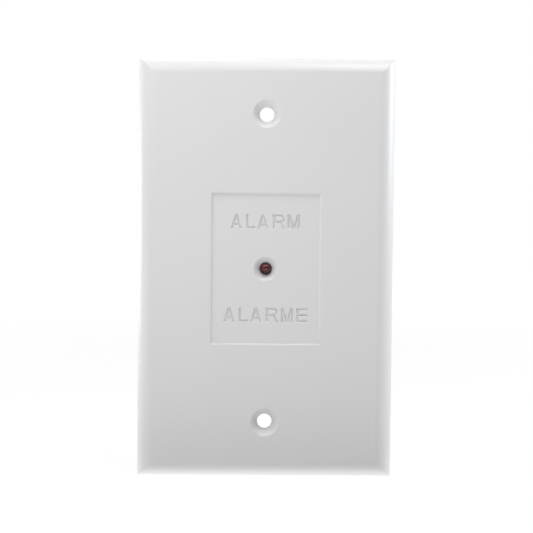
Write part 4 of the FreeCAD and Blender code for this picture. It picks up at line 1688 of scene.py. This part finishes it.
def thread(
    name: str, root: float, crest: float, pitch: float, start: float, end: float, centre: Point2 = (0.0, 0.0)
) -> bpy.types.Object:
    """A thread's ridge round the Y axis, grown along a spiral.

    Args:
        name: The object's name.
        root: Radius at the thread's root.
        crest: Radius at its crest.
        pitch: Rise in one turn.
        start: Y where it starts.
        end: Y where it ends.
        centre: X and Z of its axis.

    Returns:
        The ridge as a closed mesh.
    """
    tree = GrowthTree("thread_ridge", {
        "Root": 1.0, "Crest": 1.2, "Turns": 6.0, "Length": 5.0, "Foot": 0.4, "Steps": 28,
    })
    graph, given = tree.graph, tree.given
    overlap = graph.calculate("SUBTRACT", given["Crest"], given["Root"])
    spiral = graph.add("GeometryNodeCurveSpiral", {
        "Resolution": given["Steps"], "Rotations": given["Turns"], "Start Radius": given["Root"],
        "End Radius": given["Root"], "Height": given["Length"],
    })
    section = graph.add("GeometryNodeCurvePrimitiveQuadrilateral", {
        "Bottom Width": given["Foot"], "Top Width": graph.calculate("MULTIPLY", given["Foot"], 0.2),
        "Height": graph.calculate("MULTIPLY", overlap, 2.0), "Offset": 0.0,
    }, mode="TRAPEZOID")
    path = graph.add("GeometryNodeSetCurveNormal", {"Curve": spiral.outputs[0]}, mode="Z_UP")
    tree.close(tree.swept(path.outputs[0], section.outputs[0]), "zinc_screw")
    ridge = tree.grow(
        name, [(0, 0, 0)], Root=root * MM, Crest=crest * MM, Turns=(end - start) / pitch,
        Length=(end - start) * MM, Foot=0.6 * pitch * MM,
    )
    upturn = Matrix.Rotation(math.radians(-90), 4, "X")
    ridge.data.transform(Matrix.Translation((centre[0] * MM, start * MM, centre[1] * MM)) @ upturn)
    outward(ridge.data, 0.0001)
    return ridge


@dataclass
class ScrewTerminal:
    """The two-way terminal: housing, clamping screws, rising cages and contact bars.

    Attributes:
        pole_offset: Distance of each pole from the middle.
        shaft_middle: Z of the screws' axes.
        head_base: Y under the screws' heads.
        head_top: Y of the screws' tops.
        tip: Y of the screws' tips.
        pitch: Rise of their thread in one turn.
        housing_top: Y of the housing's top.
        mark_middle: Z of the raised plus and minus.
        mark_reach: Half the length of their strokes.
        mark_rise: How far they stand up.
        sill: Y of the cages' sills, which carry the wires.
        ridge_places: Z of the ridges across a sill.
    """

    pole_offset: float = 2.54
    shaft_middle: float = -10.25
    head_base: float = 13.3
    head_top: float = 14.8
    tip: float = 9.35
    pitch: float = 0.5
    housing_top: float = 15.7
    mark_middle: float = -7.3
    mark_reach: float = 0.6
    mark_rise: float = 0.12
    sill: float = 5.9
    ridge_places: tuple[float, ...] = (-11.6, -10.9, -10.25, -9.6, -8.9)

    def build(self) -> None:
        """Make the terminal's pieces."""
        self.housing()
        for pole in Pole:
            self.clamp_screw(pole)
            self.cage(pole)
            self.contact(pole)

    def housing(self) -> None:
        """The blue moulding with eased edges and its pole marks."""
        housing = soften(copied("terminal_housing", "terminal_body"), 0.12, 2, 30.0)
        half_line, sunk = 0.1, 0.2
        strokes = [(pole, self.mark_reach, half_line) for pole in Pole]
        strokes.append((Pole.POS, half_line, self.mark_reach))
        for pole, across, up in strokes:
            x = pole.value * self.pole_offset
            low = (x - across, self.housing_top - sunk, self.mark_middle - up)
            high = (x + across, self.housing_top + self.mark_rise, self.mark_middle + up)
            machine(housing, block("mark", low, high), Cut.ADD)
        fit(housing, 30.0, "terminal_blue", stands_for=["terminal_housing"])

    def clamp_screw(self, pole: Pole) -> None:
        """A slotted screw with a real thread.

        Args:
            pole: The terminal's pole.
        """
        x, z = pole.value * self.pole_offset, self.shaft_middle
        shank, root, head, ease = 1.25, 1.02, 1.8, 0.25
        base, top = self.head_base, self.head_top
        profile = [
            (0, self.tip), (root - 0.2, self.tip), (root, self.tip + ease), (root, base - 0.3),
            (0.92 * shank, base), (head, base), (head, top - ease), (head - 0.6 * ease, top - 0.12),
            (head - 1.6 * ease, top), (0, top),
        ]
        screw = turned("blank", profile, (x, 0, z), segments=56)
        reach, depth, half_width = 2.5, 0.7, 0.3
        low, high = (x - reach, top - depth, z - half_width), (x + reach, top + 0.5, z + half_width)
        machine(screw, block("slot", low, high))
        ridge = thread("ridge", root - 0.03, shank, self.pitch, self.tip + 0.2, base - 0.35, (x, z))
        screw = joined(f"terminal_screw_{pole.tag}", [screw, ridge])
        body = f"clamp_screw_{pole.tag}"
        fit(screw, 35.0, "zinc_screw", body, [body])

    def cage(self, pole: Pole) -> None:
        """The nickel-plated cage with eased edges and ridges on the sill that grips the wire.

        Args:
            pole: The terminal's pole.
        """
        cage = soften(copied(f"clamp_cage_{pole.tag}", "cage"), 0.08, 2, 30.0)
        x = pole.value * self.pole_offset
        tree = GrowthTree(f"sill_ridges_{pole.tag}", {"Length": 2.4 * MM, "Radius": 0.09 * MM})
        rod = tree.graph.add("GeometryNodeMeshCylinder", {
            "Vertices": 10, "Radius": tree.given["Radius"], "Depth": tree.given["Length"],
        })
        tree.close(tree.placed(rod.outputs["Mesh"], (0, math.radians(90), 0)), "nickel_cage")
        ridges = tree.grow("ridges", [(x, self.sill, z) for z in self.ridge_places])
        cage = joined(f"wire_cage_{pole.tag}", [cage, ridges])
        body = f"clamp_cage_{pole.tag}"
        fit(cage, 35.0, "nickel_cage", body, [body])

    def contact(self, pole: Pole) -> None:
        """The tinned contact bar with eased edges."""
        bar = soften(copied(f"contact_{pole.tag}", f"contact_bar_{pole.tag}"), 0.1, 3, 30.0)
        fit(bar, 35.0, "tinned_brass", stands_for=[f"contact_{pole.tag}"])


@dataclass
class BoardParts:
    """Resistor and diode with their bent leads, and all solder joints.

    Attributes:
        board_front: Y of the board's face towards the plate.
        board_rear: Y of the board's face with the parts.
        lead_place: Distance of the leads' holes from the middle.
        bend: Radius of a lead's bend.
        tail: Y of the leads' clipped ends.
        resistor_axis: Y and Z of the resistor's axis.
        diode_axis: Y and Z of the diode's axis.
        spread: How far a solder joint reaches past the hole's edge.
        climb: How far it climbs the lead.
    """

    board_front: float = 3.3
    board_rear: float = 4.9
    lead_place: float = 5.08
    bend: float = 0.8
    tail: float = 1.8
    resistor_axis: Point2 = (6.2, 7.0)
    diode_axis: Point2 = (6.35, 12.2)
    spread: float = 0.55
    climb: float = 0.9

    def build(self) -> None:
        """Make the parts."""
        self.resistor()
        self.diode()
        self.leads("resistor_leads", self.resistor_axis, 0.3, 3.15)
        self.leads("diode_leads", self.diode_axis, 0.4, 2.6)
        self.solder()

    def resistor(self) -> None:
        """A lacquered body that swells over its end caps."""
        half, cap, waist, ease = 3.15, 1.15, 1.0, 0.40
        profile: list[Point2] = [(0, -half), (0.55, -half)]
        profile += arc((cap - ease, ease + 0.02 - half), ease, -80, 0, 5)
        profile += [(cap, -2.0), (cap - 0.02, -1.85), (waist + 0.05, -1.6), (waist, -1.4)]
        profile += [(radius, -along) for radius, along in reversed(profile)]
        body = turned("resistor", profile, (0, *self.resistor_axis), Axis.ACROSS, 56)
        fit(body, 40.0, "resistor_lacquer", stands_for=["resistor_body"])

    def diode(self) -> None:
        """A moulded body with eased ends."""
        half, wall, ease = 2.6, 1.3, 0.25
        profile: list[Point2] = [(0, -half), *arc((wall - ease, ease - half), ease, -90, 0, 6)]
        profile += [(radius, -along) for radius, along in reversed(profile)]
        body = turned("diode", profile, (0, *self.diode_axis), Axis.ACROSS, 56)
        fit(body, 40.0, "diode_black", stands_for=["diode_body"])

    def leads(self, node: str, place: Point2, radius: float, start: float) -> None:
        """A pair of leads, bent down into the board in a smooth arc.

        Args:
            node: The frame node that they replace.
            place: Y and Z of the part's axis.
            radius: The lead's radius.
            start: Distance of the body's end from the middle.
        """
        axis, level = place
        corner = (self.lead_place - self.bend, axis - self.bend)
        path = [
            (start - 0.1, axis), *arc(corner, self.bend, 90, 0, 10),
            (self.lead_place, self.tail + 0.05), (self.lead_place, self.tail),
        ]
        wires = [
            tube("wire", [Vector((sign * x, y, level)) for x, y in path], radius, 28) for sign in (1, -1)
        ]
        pair = joined(f"{node}_wires", wires)
        fit(pair, 40.0, "tinned_wire", stands_for=[node])

    def solder(self) -> None:
        """Concave fillets that climb each lead on the side where it was soldered."""
        # For each pair: X on either side, Z, the lead's radius, and 1 at the rear face or -1 in front.
        pairs = (
            (1.27, 0.0, 0.36, 1), (2.54, -7.15, 0.66, -1),
            (self.lead_place, self.resistor_axis[1], 0.3, -1), (self.lead_place, self.diode_axis[1], 0.4, -1),
        )
        steps, hollow, edge = 8, 2.2, 0.04
        fillets = []
        for aside, z, core, way in pairs:
            level = self.board_rear if way > 0 else self.board_front
            neck, foot = core + 0.06, core + 0.1 + self.spread
            profile = [(0, level), (foot, level)]
            for share in (step / steps for step in range(steps + 1)):
                reach = neck + (foot - neck) * (1 - share) ** hollow
                profile.append((reach, level + way * (edge + (self.climb - edge) * share)))
            profile.append((0, level + way * self.climb))
            fillets += [turned("fillet", profile, (x, 0, z), segments=32) for x in (aside, -aside)]
        solder = joined("solder_joints", fillets)
        fit(solder, 50.0, "bright_solder", stands_for=["solder_fillets"])


@dataclass(frozen=True)
class Viewpoint:
    """Where the photograph was taken from.

    Attributes:
        place: The camera's place in millimetres.
        pitch: Degrees that it looks up.
        yaw: Degrees that it is turned about Z.
        roll: Degrees that it is turned about its own line of sight.
        focal_px: Focal length in pixels of the frame.
        frame_px: Side of the frame in pixels.
    """

    place: Point3 = (-2.55, -250.0, 8.43)
    pitch: float = -1.826
    yaw: float = -0.645
    roll: float = 0.55
    focal_px: float = 906.5
    frame_px: float = 533.0

    def build(self) -> None:
        """Make the scene's camera."""
        lens = bpy.data.cameras.new("camera")
        lens.sensor_width = 36.0
        lens.lens = lens.sensor_width * self.focal_px / self.frame_px
        lens.clip_start, lens.clip_end = 0.005, 50.0
        camera = bpy.data.objects.new("camera", lens)
        bpy.context.scene.collection.objects.link(camera)
        theta, psi, rho = (math.radians(angle) for angle in (self.pitch, self.yaw, self.roll))
        level_right = Vector((math.cos(psi), math.sin(psi), 0))
        level_ahead = Vector((-math.sin(psi), math.cos(psi), 0))
        ahead = math.cos(theta) * level_ahead + math.sin(theta) * Vector((0, 0, 1))
        level_up = -math.sin(theta) * level_ahead + math.cos(theta) * Vector((0, 0, 1))
        right = math.cos(rho) * level_right + math.sin(rho) * level_up
        up = -math.sin(rho) * level_right + math.cos(rho) * level_up
        turn = Matrix((right, up, -ahead)).transposed()
        camera.matrix_world = Matrix.Translation(Vector(self.place) * MM) @ turn.to_4x4()
        bpy.context.scene.camera = camera


@dataclass(frozen=True)
class SoftLamp:
    """One area lamp that points at the middle of the plate.

    Attributes:
        name: Its name.
        azimuth: Its direction in degrees, 0 in front of the object and 90 on its right.
        elevation: Its height above the horizon in degrees.
        distance: Its distance in millimetres.
        side: Its side in millimetres.
        power: Its power in watts.
        colour: Its colour.
    """

    name: str
    azimuth: float
    elevation: float
    distance: float
    side: float
    power: float
    colour: Colour = (1.0, 1.0, 1.0)

    def build(self) -> None:
        """Put the lamp up."""
        data = bpy.data.lights.new(self.name, "AREA")
        data.shape = "SQUARE"
        data.size = self.side * MM
        data.energy = self.power
        data.color = self.colour
        lamp = bpy.data.objects.new(self.name, data)
        bpy.context.scene.collection.objects.link(lamp)
        across, up = math.radians(self.azimuth), math.radians(self.elevation)
        level = math.cos(up)
        outward_way = Vector((math.sin(across) * level, -math.cos(across) * level, math.sin(up)))
        lamp.location = self.distance * MM * outward_way
        lamp.rotation_mode = "QUATERNION"
        lamp.rotation_quaternion = outward_way.to_track_quat("Z", "Y")


@dataclass
class Studio:
    """Floor, lamps and surroundings.

    Attributes:
        floor_level: Z of the floor in millimetres.
        bounce: Brightness of the floor as the object sees it.
        foot_bounce: The same of the floor straight under the object, a painted brighter strip of light.
        apron_bounce: The same of the floor close in front of it, a painted shade.
        foot: Half the width, in X, and half the depth, in Y, of the floor under the object.
        apron: How far the floor close in front reaches, in millimetres.
        floor_white: Brightness of the floor's own white as the camera sees it.
        near_share: Share of that white near the object; the rest is lit by the lamps and takes shadows.
        ambient: Strength of the light from all round.
        front_gloss: Brightness of what the object mirrors straight in front of it.
        near: Distance up to which the floor takes shadows in full, in millimetres.
        far: Distance from which it is plain white.
        lamps: The lamps round the object.
    """

    floor_level: float = -57.16
    bounce: float = 0.93
    foot_bounce: float = 1.113
    apron_bounce: float = 0.60
    foot: Point2 = (45.0, 8.0)
    apron: float = 30.0
    floor_white: float = 1.05
    near_share: float = 0.87
    ambient: float = 0.05
    front_gloss: float = 0.2
    near: float = 200.0
    far: float = 700.0
    lamps: tuple[SoftLamp, ...] = (
        SoftLamp("upper_left", -45, 50, 250, 120, 0.215, (1.0, 0.998, 0.99)),
        SoftLamp("low_left", -75, -10, 200, 100, 0.059, (1.0, 1.0, 0.995)),
        SoftLamp("left_edge", -120, 0, 400, 160, 0.450),
        SoftLamp("overhead", 45, 70, 400, 160, 0.690, (1.0, 0.998, 0.99)),
        SoftLamp("front", 0, -5, 400, 160, 0.200, (1.0, 0.998, 0.99)),
        SoftLamp("cool_right", 100, 20, 400, 160, 0.786, (0.88, 0.94, 1.0)),
        SoftLamp("rear", -150, 60, 400, 200, 0.25),
    )

    def build(self) -> None:
        """Make the studio."""
        self.floor()
        self.surroundings()
        for lamp in self.lamps:
            lamp.build()

    def seen(self, graph: NodeGraph) -> Socket:
        """1 for rays that show the background: from the camera, a mirror or a glass.

        Args:
            graph: The graph of a material or of the world.

        Returns:
            The mask's socket.
        """
        rays = graph.add("ShaderNodeLightPath")
        either = graph.calculate("MAXIMUM", rays.outputs["Is Camera Ray"], rays.outputs["Is Glossy Ray"])
        return graph.calculate("MAXIMUM", either, rays.outputs["Is Transmission Ray"])

    def bounced(self, graph: NodeGraph, place: Socket) -> Socket:
        """The floor's brightness as the object sees it, from a point on the floor.

        Args:
            graph: The material's graph.
            place: A point on the floor, in metres.

        Returns:
            The brightness's socket.
        """
        aside = graph.calculate("ABSOLUTE", graph.part(place, 0))
        ahead = graph.calculate("MULTIPLY", graph.part(place, 1), -1.0)
        beside = graph.calculate("LESS_THAN", aside, self.foot[0] * MM)
        # Painted light: as the object sees it, the floor glows brighter in a strip under it and dimmer close
        # in front, a painted shade.
        steps = (
            (-self.foot[1], self.foot_bounce - self.bounce),
            (self.foot[1], self.apron_bounce - self.foot_bounce),
            (self.apron, self.bounce - self.apron_bounce),
        )
        total: float | Socket = 0.0
        for start, change in steps:
            past = graph.calculate("GREATER_THAN", ahead, start * MM)
            total = graph.calculate("ADD", total, graph.calculate("MULTIPLY", past, change))
        return graph.calculate("ADD", graph.calculate("MULTIPLY", total, beside), self.bounce)

    def floor(self) -> None:
        """A pale floor that shows as white apart from the object's shadow; towards the object it glows, as
        its light from below.
        """
        reach = 1500.0
        corners = ((-reach, -reach), (reach, -reach), (reach, reach), (-reach, reach))
        floor = shape("floor", [(x, y, self.floor_level) for x, y in corners], [(0, 1, 2, 3)])
        material = bpy.data.materials.new("floor")
        graph = emptied(material)
        seen = self.seen(graph)
        place = graph.place()
        away = graph.add("ShaderNodeVectorMath", {0: place}, operation="LENGTH").outputs["Value"]
        strength = graph.ranged(seen, 0.0, 1.0, self.bounced(graph, place), self.floor_white)
        matt = graph.add("ShaderNodeBsdfDiffuse", {"Color": rgba((0.88, 0.88, 0.88))})
        white = graph.add("ShaderNodeEmission", {"Color": WHITE, "Strength": strength})
        fade = graph.ranged(away, self.near * MM, self.far * MM, self.near_share, 1.0)
        share = graph.add("ShaderNodeMix", {0: seen, 2: 1.0, 3: fade}, data_type="FLOAT").outputs[0]
        mixed = graph.add("ShaderNodeMixShader", {0: share, 1: matt.outputs[0], 2: white.outputs[0]})
        graph.add("ShaderNodeOutputMaterial", {"Surface": mixed.outputs[0]})
        floor.data.materials.append(material)

    def surroundings(self) -> None:
        """White where it is seen, dim in front as the object mirrors it, and a plain level of light."""
        world = bpy.data.worlds.new("surroundings")
        graph = emptied(world)
        heading = graph.add("ShaderNodeTexCoord").outputs["Generated"]
        mirrored = graph.ranged(graph.part(heading, 1), -0.6, 0.1, self.front_gloss, 1.0)
        glossy = graph.add("ShaderNodeLightPath").outputs["Is Glossy Ray"]
        strength = graph.add("ShaderNodeMix", {0: glossy, 2: 1.0, 3: mirrored}, data_type="FLOAT").outputs[0]
        seen = graph.add("ShaderNodeBackground", {"Color": WHITE, "Strength": strength})
        light = graph.add("ShaderNodeBackground", {"Color": WHITE, "Strength": self.ambient})
        sources = {0: self.seen(graph), 1: light.outputs[0], 2: seen.outputs[0]}
        mixed = graph.add("ShaderNodeMixShader", sources)
        graph.add("ShaderNodeOutputWorld", {"Surface": mixed.outputs[0]})
        bpy.context.scene.world = world


def main() -> None:
    """Load the frame, dress every sub-assembly and light it."""
    logging.basicConfig(level=logging.INFO, format="%(name)s: %(message)s")
    bpy.ops.wm.read_factory_settings(use_empty=True)
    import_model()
    bpy.context.scene.view_settings.view_transform = "Standard"
    Viewpoint().build()
    for part in (CoverPlate(), Lamp(), LampBoard(), BoardFasteners(), ScrewTerminal(), BoardParts()):
        part.build()
        LOG.info("built %s", type(part).__name__)
    Studio().build()


if __name__ == "__main__":
    main()
